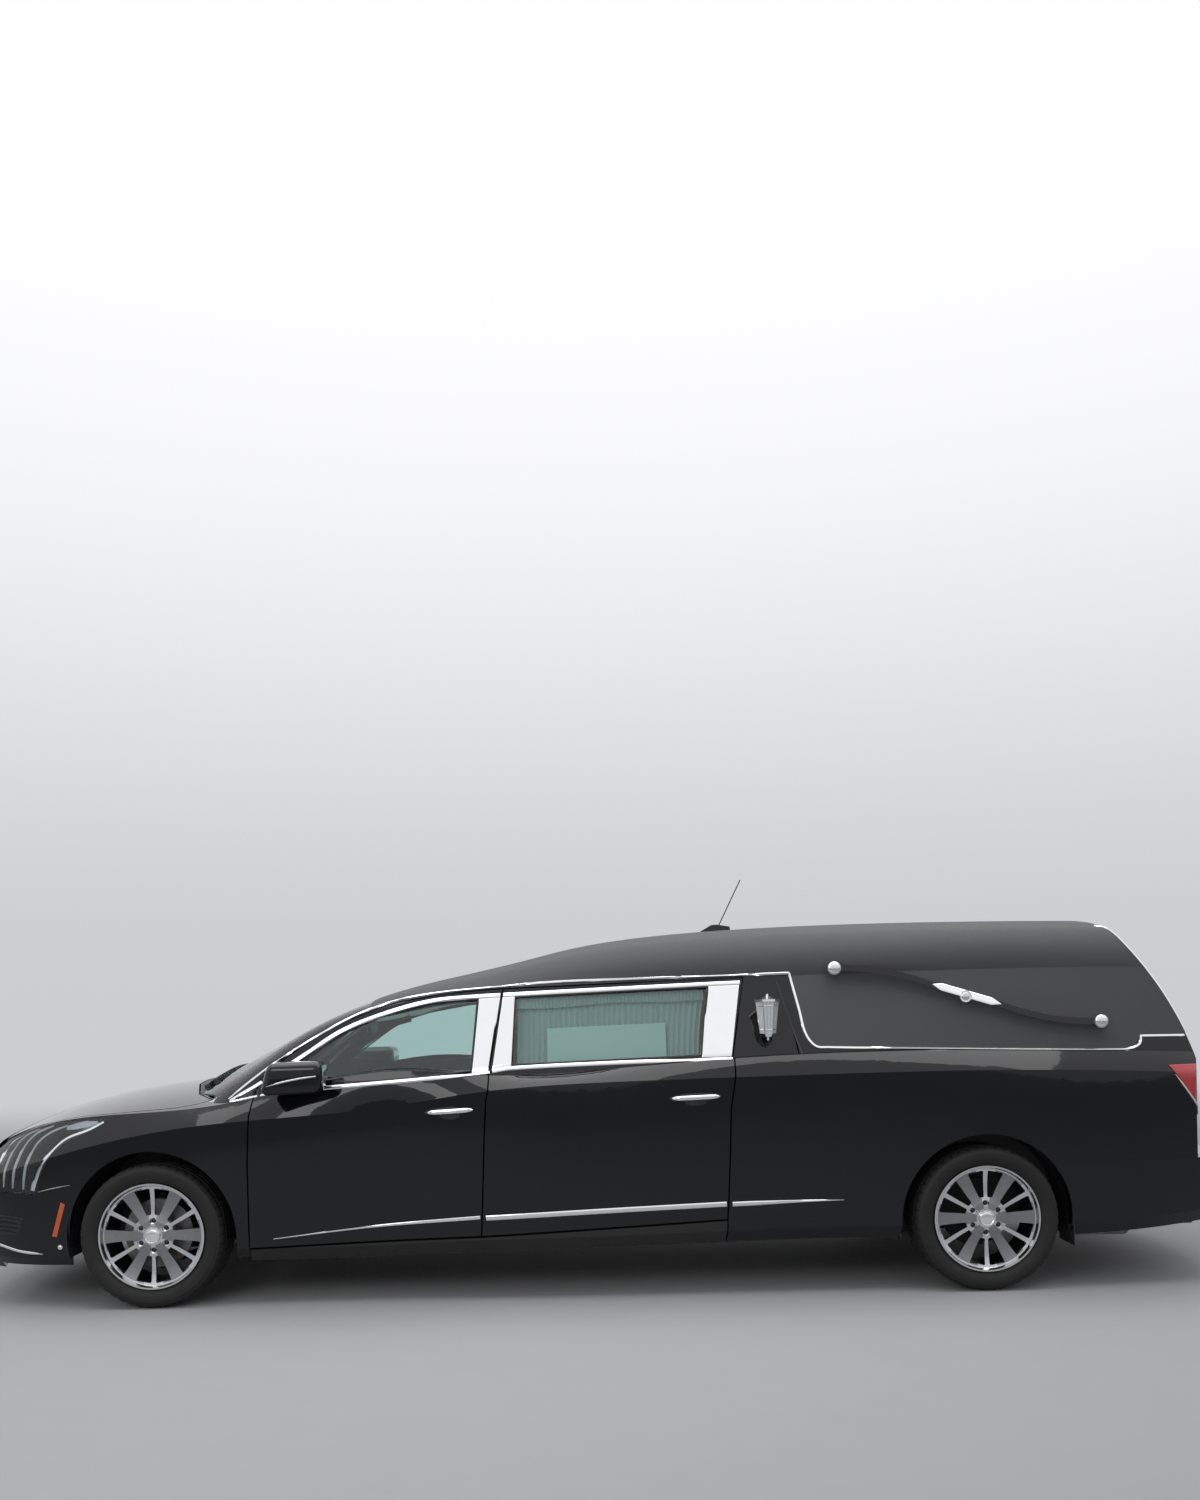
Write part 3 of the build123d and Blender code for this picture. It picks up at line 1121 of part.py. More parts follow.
def build_all():
    forms = make_forms()
    parts = {}
    parts["front_wings"] = front_wings(forms)
    parts["headlamps"] = headlamps(forms)
    parts["bonnet"] = bonnet(forms)
    parts["scuttle"] = scuttle(forms)
    parts["front_bumper"] = front_bumper(forms)
    parts["grille"] = grille(forms)
    parts["lower_grille"] = lower_grille(forms)
    parts["windscreen"] = windscreen(forms)
    parts["front_door_left"] = door_shell(forms, front_door_outline(), front_window_outline())
    parts["side_door_left"] = largest(
        door_shell(forms, side_door_outline(), side_window_outline()) + ledge(forms))
    parts["front_glass_left"] = door_glass(forms, front_window_outline())
    parts["side_glass_left"] = door_glass(forms, side_window_outline())
    parts["curtain_left"] = curtain()
    for name in ("front_door", "side_door", "front_glass", "side_glass", "curtain"):
        parts[name + "_right"] = other_side(parts[name + "_left"])
    parts["rear_quarters"] = quarters(forms)
    parts["rear_bumper"] = rear_bumper(forms)
    parts["tail_door"] = tail_door(forms)
    parts["tail_glass"] = tail_glass(forms)
    parts["roof"] = roof(forms)
    parts["body_frame"] = frame(forms)
    parts["floor_pan"] = floor_pan(forms)
    wheel = {"rim": rim(), "tyre": tyre()}
    mirror_left = mirror_body(forms)
    for side, name in ((-1, "left"), (1, "right")):
        for piece, shape in wheel.items():
            parts["front_" + piece + "_" + name] = on_axle(shape, FRONT_AXLE_X, side)
            parts["rear_" + piece + "_" + name] = on_axle(shape, REAR_AXLE_X, side)
        parts["knuckle_" + name] = knuckle(side)
        parts["mirror_" + name] = mirror_left if side < 0 else other_side(mirror_left)
    parts["front_suspension"] = front_suspension()
    parts["rear_suspension"] = rear_suspension()
    parts["engine"] = engine()
    parts["fuel_tank"] = fuel_tank()
    parts["exhaust"] = exhaust()
    parts["front_seats"] = Compound([seat(-1), seat(1)])
    parts["dashboard"] = dashboard(forms)
    parts["steering_wheel"] = steering_wheel()
    parts["casket_deck"] = casket_deck()
    parts["landau_bars"] = landau_bars(forms)
    parts["coach_lamps"] = coach_lamps(forms)
    parts["tail_lamps"] = tail_lamps(forms)
    parts["antenna"] = antenna(forms)
    parts["wipers"] = wipers(forms)
    parts["sign_board"] = sign_board()
    return parts


os.makedirs("parts", exist_ok=True)
for name, shape in build_all().items():
    export_step(shape, "parts/" + name + ".step")
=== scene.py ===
import bmesh
import bpy
import json
import random
from math import atan2, ceil, copysign, cos, exp, hypot, pi, radians, sin, sqrt, tau
from mathutils import Matrix, Vector, geometry
from mathutils.bvhtree import BVHTree


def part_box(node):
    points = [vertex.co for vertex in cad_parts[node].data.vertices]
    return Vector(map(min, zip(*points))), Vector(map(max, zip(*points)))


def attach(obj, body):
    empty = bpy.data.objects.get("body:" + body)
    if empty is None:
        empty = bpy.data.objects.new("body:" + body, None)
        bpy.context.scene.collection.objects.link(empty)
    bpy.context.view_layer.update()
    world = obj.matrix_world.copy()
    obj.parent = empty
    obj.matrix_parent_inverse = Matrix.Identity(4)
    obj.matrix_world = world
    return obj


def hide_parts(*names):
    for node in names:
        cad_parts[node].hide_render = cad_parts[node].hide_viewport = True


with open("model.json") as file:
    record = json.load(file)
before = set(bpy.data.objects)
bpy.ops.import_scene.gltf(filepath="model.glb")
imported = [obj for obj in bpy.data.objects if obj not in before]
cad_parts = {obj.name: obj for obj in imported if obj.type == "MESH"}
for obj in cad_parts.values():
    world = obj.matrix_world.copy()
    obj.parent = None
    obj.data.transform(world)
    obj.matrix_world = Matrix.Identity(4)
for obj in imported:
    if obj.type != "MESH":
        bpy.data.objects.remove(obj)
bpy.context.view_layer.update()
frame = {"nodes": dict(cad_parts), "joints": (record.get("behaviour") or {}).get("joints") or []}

# Camera across the road from the left side, at standing eye height, held a little off level.
# The horizon lies below the middle of the picture, so the lens is shifted up and upright lines stay upright.
EYE = Vector((0.028, -6.605, 1.409))
CAMERA_ROLL = radians(1.23)
LENS = 28.8
HORIZON_SHIFT = 0.1687
camera_data = bpy.data.cameras.new("camera")
camera_data.lens = LENS
camera_data.shift_y = HORIZON_SHIFT
camera = bpy.data.objects.new("camera", camera_data)
camera.location = EYE
camera.rotation_euler = (radians(90), CAMERA_ROLL, 0)
bpy.context.scene.collection.objects.link(camera)
bpy.context.scene.camera = camera
bpy.context.scene.view_settings.view_transform = "Standard"


# Pale studio: an even sky that lightens upwards, one wide soft lamp overhead and one beside the camera.
# The sky that paint and chrome mirror is brighter than the light that it gives off.
class Value:
    """A node's output that adds and multiplies like a number."""

    def __init__(self, finish, socket):
        self.finish = finish
        self.socket = socket

    def sum(self, operation, first, second):
        return self.finish.node("ShaderNodeMath", {"operation": operation}, {0: first, 1: second})

    def __add__(self, other):
        return self.sum("ADD", self, other)

    def __radd__(self, other):
        return self.sum("ADD", other, self)

    def __sub__(self, other):
        return self.sum("SUBTRACT", self, other)

    def __rsub__(self, other):
        return self.sum("SUBTRACT", other, self)

    def __mul__(self, other):
        return self.sum("MULTIPLY", self, other)

    def __rmul__(self, other):
        return self.sum("MULTIPLY", other, self)

    def over(self, limit):
        return self.sum("GREATER_THAN", self, limit)

    def size(self):
        return self.sum("ABSOLUTE", self, 0.0)

    def wave(self):
        return self.sum("SINE", self, 0.0)

    def root(self):
        return self.sum("SQRT", self, 0.0)


class Finish:
    """One material and its slot. Its nodes come from node(), and shade() or end() closes it."""

    def __init__(self, name, slot=None, tree=None):
        self.slot = slot
        self.material = None
        if tree is None:
            self.material = bpy.data.materials.new(name)
            self.material.use_nodes = True
            tree = self.material.node_tree
        self.tree = tree
        self.tree.nodes.clear()

    def node(self, kind, settings=None, inputs=None, out=0):
        made = self.tree.nodes.new(kind)
        for name, value in (settings or {}).items():
            setattr(made, name, value)
        for name, value in (inputs or {}).items():
            socket = made.inputs[name]
            if isinstance(value, Value):
                self.tree.links.new(value.socket, socket)
            elif isinstance(value, tuple) and len(value) == 3 and socket.type == "RGBA":
                socket.default_value = (*value, 1)
            else:
                socket.default_value = value
        return Value(self, made.outputs[out])

    def place(self):
        return self.node("ShaderNodeTexCoord", out="Object")

    def axes(self, vector=None):
        """The three numbers of a vector, by default the place on the piece."""
        split = self.node("ShaderNodeSeparateXYZ", {}, {"Vector": vector or self.place()}).socket.node
        return [Value(self, output) for output in split.outputs]

    def noise(self, scale, detail=3.0, roughness=0.5, place=None):
        sockets = {"Vector": place or self.place(), "Scale": scale, "Detail": detail, "Roughness": roughness}
        return self.node("ShaderNodeTexNoise", {}, sockets, "Fac")

    def cells(self, scale):
        """Distance to the nearest edge in a pattern of small cells."""
        sockets = {"Vector": self.place(), "Scale": scale}
        return self.node("ShaderNodeTexVoronoi", {"feature": "DISTANCE_TO_EDGE"}, sockets, "Distance")

    def mixed(self, share, first, second):
        """Colour between two colours, each a tuple of three or a value."""
        made = self.tree.nodes.new("ShaderNodeMix")
        made.data_type = "RGBA"
        wanted = {"Factor_Float": share, "A_Color": first, "B_Color": second}
        for socket in made.inputs:
            value = wanted.get(socket.identifier)
            if isinstance(value, Value):
                self.tree.links.new(value.socket, socket)
            elif value is not None:
                socket.default_value = (*value, 1) if isinstance(value, tuple) else value
        return Value(self, [s for s in made.outputs if s.identifier == "Result_Color"][0])

    def stepped(self, value, low, high):
        """Value taken smoothly to 0 at low and 1 at high."""
        sockets = {"Value": value, "From Min": low, "From Max": high}
        return self.node("ShaderNodeMapRange", {"interpolation_type": "SMOOTHSTEP"}, sockets)

    def bumped(self, height, distance, strength=1.0):
        sockets = {"Height": height, "Strength": strength, "Distance": distance}
        return self.node("ShaderNodeBump", {}, sockets)

    def shade(self, inputs):
        return self.end(self.node("ShaderNodeBsdfPrincipled", {}, inputs))

    def solid(self, colours, patch, gloss, grain=None, depth=0.0, strength=1.0, others=None):
        """Two colours mixed in patches, with a gloss that changes and a fine grain.

        Patch is a value or a noise's numbers; gloss is the least roughness, its rise and what moves it."""
        least, rise, shift = gloss
        share = patch if isinstance(patch, Value) else self.noise(*patch)
        shift = shift if isinstance(shift, Value) else self.noise(shift)
        inputs = {"Base Color": self.mixed(share, *colours), "Roughness": least + shift * rise}
        inputs.update(others or {})
        if grain:
            inputs["Normal"] = self.bumped(grain, depth, strength)
        return self.shade(inputs)

    def blended(self, share, first, second):
        return self.node("ShaderNodeMixShader", {}, {0: share, 1: first, 2: second})

    def end(self, shader, kind="ShaderNodeOutputMaterial"):
        output = self.tree.nodes.new(kind)
        self.tree.links.new(shader.socket, output.inputs["Surface"])
        return self


def seen_rays(finish, kinds=("Is Camera Ray", "Is Glossy Ray", "Is Transmission Ray")):
    """1 for the rays of these kinds, 0 for the rest."""
    path = finish.tree.nodes.new("ShaderNodeLightPath")
    found = sum(Value(finish, path.outputs[name]) for name in kinds)
    return finish.node("ShaderNodeMath", {"operation": "MINIMUM"}, {0: found, 1: 1.0})


HORIZON = (0.60, 0.61, 0.63)
ZENITH = (1.0, 1.0, 1.02)
SKY_LIGHT = 0.50
world = bpy.data.worlds.new("studio")
world.use_nodes = True
bpy.context.scene.world = world
sky = Finish("sky", tree=world.node_tree)
height = sky.axes(sky.node("ShaderNodeTexCoord", out="Generated"))[2]
sky_colour = sky.mixed(sky.stepped(height, 0.0, 0.55), HORIZON, ZENITH)
shown = sky.node("ShaderNodeBackground", {}, {"Color": sky_colour, "Strength": 1.0})
given = sky.node("ShaderNodeBackground", {}, {"Color": sky_colour, "Strength": SKY_LIGHT})
sky.end(sky.blended(seen_rays(sky), given, shown), "ShaderNodeOutputWorld")
LAMPS = [("overhead", (0.0, -0.6, 4.6), (0.0, 0.0, 0.6), 7.5, 3.6, 170.0),
         ("beside_camera", (-3.0, -6.5, 3.4), (0.0, 0.0, 0.8), 3.5, 2.0, 60.0)]
for lamp_name, place, aim, length, width, power in LAMPS:
    lamp_data = bpy.data.lights.new(lamp_name, "AREA")
    lamp_data.shape = "RECTANGLE"
    lamp_data.size = length
    lamp_data.size_y = width
    lamp_data.energy = power
    lamp = bpy.data.objects.new(lamp_name, lamp_data)
    lamp.location = place
    lamp.rotation_euler = (Vector(aim) - Vector(place)).to_track_quat("-Z", "Y").to_euler()
    bpy.context.scene.collection.objects.link(lamp)

# Floor: a pale matt studio floor, one round sheet under the car.
# It fades into the sky's colour some metres away, so that no edge shows.
FLOOR_RADIUS = 40.0
FLOOR_COLOUR = (0.44, 0.445, 0.455)
FADE_START, FADE_END, FADE_STRETCH = 4.2, 15.0, 0.6
ground = Finish("floor")
floor_x, floor_y, _ = ground.axes()
distance = (floor_x * floor_x * FADE_STRETCH + floor_y * floor_y).root()
fade = ground.stepped(distance, FADE_START, FADE_END)
fade = fade * seen_rays(ground, ("Is Camera Ray", "Is Transmission Ray"))
plain = ground.node("ShaderNodeBsdfPrincipled", {}, {
    "Base Color": ground.mixed(ground.noise(6.0), FLOOR_COLOUR, (0.46, 0.465, 0.475)), "Roughness": 0.75,
    "Specular IOR Level": 0.2})
glow = ground.node("ShaderNodeEmission", {}, {"Color": HORIZON, "Strength": 1.0})
ground.end(ground.blended(fade, plain, glow))
bm = bmesh.new()
bmesh.ops.create_circle(bm, cap_ends=True, segments=96, radius=FLOOR_RADIUS)
floor_mesh = bpy.data.meshes.new("floor")
bm.to_mesh(floor_mesh)
bm.free()
floor_mesh.materials.append(ground.material)
floor = bpy.data.objects.new("floor", floor_mesh)
bpy.context.scene.collection.objects.link(floor)


# Painted body: pressed steel panels in deep black under clear lacquer.
# The lacquer has a faint orange peel, and its gloss varies a little from panel to panel.
def dress(names, finish):
    """Gives frame nodes their finish."""
    for name in names:
        for slot in frame["nodes"][name].material_slots:
            slot.material = finish.material


paint = Finish("black_paint", "black_paint")
paint.solid(((0.0025, 0.003, 0.0045), (0.004, 0.0045, 0.0065)), (3.0, 2.0), (0.035, 0.04, 9.0),
            paint.noise(260.0, 1.0), 0.00008,
            others={"Specular IOR Level": 0.1, "Coat Weight": 0.85, "Coat Roughness": 0.03, "Coat IOR": 1.45})
dress(["front_wings", "bonnet", "front_bumper", "front_door_left", "front_door_right",
       "side_door_left", "side_door_right", "rear_quarters", "rear_bumper", "tail_door", "body_frame",
       "landau_bars"], paint)

# Roof covering: black vinyl stretched over the steel roof and its blind rear sides.
# The grain is a fine leather pattern, dull, a little lighter where it is pulled tight.
vinyl = Finish("black_vinyl")
vinyl.solid(((0.056, 0.057, 0.062), (0.068, 0.069, 0.074)), (2.2, 4.0), (0.55, 0.12, 60.0),
            vinyl.stepped(vinyl.cells(420.0), 0.0, 0.22), 0.0004, 0.7, {"Specular IOR Level": 0.45})
dress(["roof"], vinyl)

# Bright metal of strips, handles and lamps: steel and castings plated with polished chrome.
# It is slightly uneven, with fine wiping marks.
chrome = Finish("bright_metal", "bright_trim")
smears = chrome.noise(14.0, 4.0)
chrome.solid(((0.84, 0.85, 0.87), (0.92, 0.92, 0.93)), smears, (0.05, 0.07, smears), chrome.noise(120.0, 1.0),
             0.00004, others={"Metallic": 1.0})


# Windows: green-tinted safety glass bonded or sliding in its frames.
# Each pane is a clear film that lets tinted light through and mirrors more at a slant.
def clear_film(name, tint, gloss, ripple=0.0):
    film = Finish(name)
    share = film.node("ShaderNodeFresnel", {}, {"IOR": 1.5})
    bend = {"Normal": film.bumped(film.noise(7.0, 1.0), ripple)} if ripple else {}
    through = film.node("ShaderNodeBsdfTransparent", {}, {"Color": tint})
    mirror = film.node("ShaderNodeBsdfGlossy", {}, {"Color": (1, 1, 1), "Roughness": gloss, **bend})
    film.end(film.blended(share, through, mirror))
    return film


tinted = clear_film("tinted_glass", (0.84, 0.94, 0.925), 0.02, 0.0004)
dress(["windscreen", "front_glass_left", "front_glass_right", "side_glass_left", "side_glass_right",
       "tail_glass"], tinted)

# Dull black plastic and rubber of the lower grille, wipers, antenna and scuttle, with a fine moulded grain.
# Moulded parts, clipped to the painted body.
plastic = Finish("black_plastic", "trim_plastic")
plastic.solid(((0.012, 0.012, 0.013), (0.022, 0.022, 0.023)), (40.0,), (0.42, 0.15, 90.0),
              plastic.noise(900.0, 2.0), 0.0002, 0.5)
dress(["lower_grille", "wipers", "antenna", "scuttle"], plastic)

# Chassis: the floor with its sills, the tank and the arms are steel coated in dull black, with some dust.
# Hubs, engine and exhaust are bare castings and tube, lightly rusted.
steel = Finish("chassis_steel")
dust = steel.noise(5.0, 6.0, 0.6)
steel.solid(((0.008, 0.008, 0.0085), (0.024, 0.023, 0.021)), dust, (0.55, 0.3, dust), steel.noise(220.0, 4.0),
            0.0006, 0.5)
dress(["floor_pan", "front_suspension", "rear_suspension", "fuel_tank"], steel)
cast = Finish("cast_metal")
rust = cast.noise(16.0, 6.0, 0.65)
cast.solid(((0.20, 0.20, 0.205), (0.13, 0.085, 0.06)), cast.stepped(rust, 0.45, 0.7), (0.38, 0.25, rust),
           cast.noise(320.0), 0.0005, 0.6, {"Metallic": 0.85})
dress(["knuckle_left", "knuckle_right", "engine", "exhaust"], cast)


# Bright mouldings of the body side: the roof bead, the frames over and under the windows, and the sill strips.
# Rolled stainless strips, each cut at the door gaps so that it swings with its own door.
def piece(name, bm, finish, body, sharp=35.0, slot=None):
    """Finished object: faces smooth, edges sharper than the angle kept crisp, riding on its body."""
    limit = radians(sharp)
    for face in bm.faces:
        face.smooth = True
    for edge in bm.edges:
        edge.smooth = len(edge.link_faces) != 2 or edge.calc_face_angle(0) < limit
    mesh = bpy.data.meshes.new(name)
    bm.to_mesh(mesh)
    bm.free()
    mesh.materials.append(finish.material)
    made = bpy.data.objects.new(name, mesh)
    bpy.context.scene.collection.objects.link(made)
    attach(made, body)
    slot or finish.slot
    return made


def pair(name, bm, finish, body, sharp=35.0, slot=None):
    """Left piece and its mirror image; a body ending in _l changes to _r."""
    other = bm.copy()
    bmesh.ops.scale(other, vec=(1, -1, 1), verts=other.verts)
    bmesh.ops.reverse_faces(other, faces=other.faces)
    right = body[:-2] + "_r" if body.endswith("_l") else body
    return [piece(name + "_left", bm, finish, body, sharp, slot),
            piece(name + "_right", other, finish, right, sharp, slot)]


def trace(points, step):
    """Even points on a smooth line through the given ones; a point given twice is a corner."""
    knots = [Vector(p) for p in points]
    last = len(knots) - 1
    line = [knots[0]]
    for i in range(last):
        a, b = knots[i], knots[i + 1]
        span = (b - a).length
        if span < 1e-6:
            continue
        before = (b - knots[max(i - 1, 0)]).normalized() * span / 3
        after = (knots[min(i + 2, last)] - a).normalized() * span / 3
        line += geometry.interpolate_bezier(a.to_3d(), (a + before).to_3d(), (b - after).to_3d(), b.to_3d(),
                                            max(2, ceil(span / step) + 1))[1:]
    return [p if len(p) == 3 else p.to_3d() for p in line]


def surface(names):
    """Search tree over frame nodes."""
    corners, faces = [], []
    for name in names:
        mesh = frame["nodes"][name].data
        start = len(corners)
        corners += [v.co.copy() for v in mesh.vertices]
        faces += [[start + i for i in p.vertices] for p in mesh.polygons]
    return BVHTree.FromPolygons(corners, faces)


side_skin = surface(["front_wings", "front_bumper", "headlamps", "front_door_left", "side_door_left",
                     "rear_quarters", "roof", "rear_bumper", "tail_lamps", "front_glass_left",
                     "side_glass_left", "body_frame", "tail_door"])
SIDE_START = -1.3
DEEPEST_SIDE = -0.50


def side_y(x, z, skin=side_skin):
    """Where the left side lies at one place in side view, or None in a gap."""
    place = skin.ray_cast(Vector((x, SIDE_START, z)), Vector((0, 1, 0)))[0]
    return place.y if place is not None and place.y < DEEPEST_SIDE else None


def evened(values, passes=4):
    """Values with gaps filled from their neighbours and small steps smoothed out."""
    known = [v for v in values if v is not None]
    filled = []
    for v in values:
        filled.append(v if v is not None else (filled[-1] if filled else known[0]))
    for _ in range(passes):
        inner = [(a + 2 * b + c) / 4 for a, b, c in zip(filled, filled[1:], filled[2:])]
        filled = [filled[0]] + inner + [filled[-1]]
    return filled


def bridged(depths, passes=40):
    """Depths with the short dips filled, where a line crosses the gap between two panels."""
    for _ in range(passes):
        inner = [min(b, (a + c) / 2 + 0.0006) for a, b, c in zip(depths, depths[1:], depths[2:])]
        depths = [depths[0]] + inner + [depths[-1]]
    return depths


def laid(points, step=0.02, reach=0.012, skin=None):
    """Stations along a line drawn on the left side in side view: place, way out and way up."""
    skin = skin or side_skin
    line = [(p.x, p.y) for p in trace(points, step)]
    depths = evened(bridged(evened([side_y(x, z, skin) for x, z in line], 0)))
    leans = []
    for x, z in line:
        low, high = side_y(x, z - reach, skin), side_y(x, z + reach, skin)
        steep = None if low is None or high is None else (high - low) / (2 * reach)
        leans.append(steep if steep is not None and abs(steep) < 2.5 else None)
    leans = evened(leans if any(v is not None for v in leans) else [0.0] * len(line), 8)
    places = [Vector((x, y, z)) for (x, z), y in zip(line, depths)]
    stations = []
    for i, place in enumerate(places):
        along = (places[min(i + 1, len(places) - 1)] - places[max(i - 1, 0)]).normalized()
        out = along.cross(Vector((0, leans[i], 1))).normalized()
        if out.y > 0:
            out.negate()
        if abs(along.x) < 0.3:
            out = Vector((0, -1, leans[i])).normalized()
            out = (out - along * out.dot(along)).normalized()
        stations.append((place, out, out.cross(along).normalized()))
    return stations


def gridded(across, upward, place):
    """Sheet of squares; place gives each corner's spot from its two shares of the way, 0 to 1."""
    bm = bmesh.new()
    bmesh.ops.create_grid(bm, x_segments=across, y_segments=upward, size=1.0)
    for vert in bm.verts:
        vert.co = place((vert.co.x + 1) / 2, (vert.co.y + 1) / 2)
    return bm


def skinned(sections, closed_line=False):
    """Closed section loops, one for each station, skinned into one body with closed ends."""
    count, around = len(sections) - 1 + closed_line, len(sections[0])
    bm = gridded(count, around,
                 lambda s, t: sections[round(s * count) % len(sections)][round(t * around) % around])
    bmesh.ops.remove_doubles(bm, verts=bm.verts, dist=1e-7)
    if not closed_line:
        ends = [e for e in bm.edges if len(e.link_faces) == 1]
        bmesh.ops.holes_fill(bm, edges=ends, sides=0)
    bmesh.ops.recalc_face_normals(bm, faces=bm.faces)
    return bm


def moulding(name, points, half_height, proud, body="root", finish=chrome, step=0.02, ends=(1.0, 1.0),
             sunk=0.0015, taper=0.06, lift=0.0, skin=None, slot=None):
    """Rounded strip on each side; ends give how much of its height is left at its two ends."""
    stations = laid(points, step, skin=skin)
    length = [0.0]
    for a, b in zip(stations, stations[1:]):
        length.append(length[-1] + (b[0] - a[0]).length)
    sections = []
    for run, (place, out, up) in zip(length, stations):
        near = min(1.0, ends[0] + (1 - ends[0]) * min(1.0, run / taper))
        far = min(1.0, ends[1] + (1 - ends[1]) * min(1.0, (length[-1] - run) / taper))
        h, p = half_height * min(near, far), proud * (0.4 + 0.6 * min(near, far))
        shape = [(-h, -sunk), (-h, p * 0.55), (-h * 0.72, p * 0.92), (0, p),
                 (h * 0.72, p * 0.92), (h, p * 0.55), (h, -sunk)]
        sections.append([place + up * a + out * (o + lift) for a, o in shape])
    return pair(name, skinned(sections), finish, body, slot=slot)


ROOF_BEAD = [(-1.772, 0.984), (-1.651, 1.084), (-1.536, 1.168), (-1.346, 1.284), (-1.152, 1.383),
             (-0.956, 1.447), (-0.758, 1.478), (-0.462, 1.501), (-0.167, 1.519), (0.227, 1.525),
             (0.523, 1.529), (0.719, 1.532), (0.958, 1.536)]
QUARTER_BEAD = [(0.960, 1.538), (0.997, 1.354), (1.019, 1.240), (1.062, 1.180), (1.120, 1.172),
                (1.635, 1.156), (2.540, 1.131), (2.600, 1.137), (2.638, 1.160), (2.646, 1.194),
                (2.646, 1.194), (2.900, 1.192)]
BEAD_HALF_HEIGHT, BEAD_PROUD, STRIP_PROUD = 0.0065, 0.006, 0.005
STRIPS = [("window_strip_wing", "root", 0.0085, (0.5, 1.0),
           [(-1.764, 0.978), (-1.651, 1.040), (-1.616, 1.062)]),
          ("window_strip_front", "front_door_l", 0.0105, (0.8, 1.0),
           [(-1.594, 1.075), (-1.536, 1.112), (-1.400, 1.197), (-1.230, 1.303), (-0.990, 1.391),
            (-0.790, 1.437), (-0.575, 1.453), (-0.461, 1.457)]),
          ("window_strip_side", "side_door_l", 0.0105, (1.0, 1.0),
           [(-0.446, 1.458), (-0.388, 1.460), (0.554, 1.490), (0.716, 1.494)]),
          ("belt_strip_wing", "root", 0.0085, (0.5, 1.0),
           [(-1.764, 0.972), (-1.700, 0.984), (-1.629, 0.997)]),
          ("belt_strip_front", "front_door_l", 0.0090, (1.0, 1.0),
           [(-1.612, 1.000), (-1.537, 1.012), (-1.199, 1.039), (-0.599, 1.079), (-0.511, 1.087)]),
          ("belt_strip_side", "side_door_l", 0.0095, (1.0, 1.0),
           [(-0.496, 1.092), (-0.408, 1.104), (0.022, 1.118), (0.499, 1.127), (0.656, 1.130)])]
SILL_STRIPS = [("front_door", "front_door_l", 0.0085, (0.25, 1.0), 0.9,
                [(-1.550, 0.320), (-1.100, 0.366), (-0.562, 0.403)]),
               ("side_door", "side_door_l", 0.0120, (1.0, 1.0), 0.1,
                [(-0.534, 0.400), (0.040, 0.423), (0.609, 0.442)]),
               ("root", "root", 0.0110, (1.0, 0.15), 0.45,
                [(0.637, 0.441), (0.900, 0.447), (1.168, 0.450)])]
moulding("roof_bead", ROOF_BEAD, BEAD_HALF_HEIGHT, BEAD_PROUD, ends=(0.4, 1.0))
moulding("quarter_bead", QUARTER_BEAD, BEAD_HALF_HEIGHT, BEAD_PROUD, step=0.012, ends=(1.0, 0.5))
for name, body, half_height, ends, points in STRIPS:
    moulding(name, points, half_height, STRIP_PROUD, body, ends=ends)
for name, body, half_height, ends, taper, points in SILL_STRIPS:
    moulding("sill_strip_" + name, points, half_height, BEAD_PROUD, body, step=0.03, ends=ends, taper=taper)


# Bright door pillars: polished plates that cover the posts between the windows.
# Each is clipped to its own door, with the black door gap showing between them.
def plated(name, corners, lift, finish=chrome, body="root", squares=(14, 14), edge=0.0012, sunk=0.002):
    """Sheet plate on each side, between four side-view corners, lying on the body with a rounded rim."""
    a, b, c, d = [Vector(corner) for corner in corners]
    across, upward = squares
    columns = []
    for i in range(across + 1):
        foot, head = a.lerp(b, i / across), d.lerp(c, i / across)
        spots = [foot.lerp(head, j / upward) for j in range(upward + 1)]
        depths = evened([side_y(x, z) for x, z in spots], 3)
        columns.append([Vector((x, y - lift, z)) for (x, z), y in zip(spots, depths)])
    bm = gridded(across, upward, lambda s, t: columns[round(s * across)][round(t * upward)])
    rim = [e for e in bm.edges if len(e.link_faces) == 1]
    walls = bmesh.ops.extrude_edge_only(bm, edges=rim)["geom"]
    backs = [part for part in walls if isinstance(part, bmesh.types.BMVert)]
    bmesh.ops.translate(bm, vec=(0, lift + sunk, 0), verts=backs)
    bmesh.ops.recalc_face_normals(bm, faces=bm.faces)
    if sum(f.normal.y * f.calc_area() for f in bm.faces) > 0:
        bmesh.ops.reverse_faces(bm, faces=bm.faces)
    bmesh.ops.bevel(bm, geom=rim, offset=edge, offset_type="OFFSET", affect="EDGES", segments=2, profile=0.5,
                    material=-1)
    return pair(name, bm, finish, body)


PLATE_LIFT = 0.003
PILLAR_PLATES = [("front_pillar_plate", "front_door_l",
                  [(-0.594, 1.088), (-0.512, 1.094), (-0.462, 1.447), (-0.565, 1.443)]),
                 ("middle_pillar_plate", "side_door_l",
                  [(-0.497, 1.101), (-0.406, 1.113), (-0.390, 1.450), (-0.449, 1.448)]),
                 ("rear_pillar_plate", "side_door_l",
                  [(0.513, 1.137), (0.655, 1.139), (0.712, 1.484), (0.553, 1.480)])]
for name, body, corners in PILLAR_PLATES:
    plated(name, corners, PLATE_LIFT, body=body)

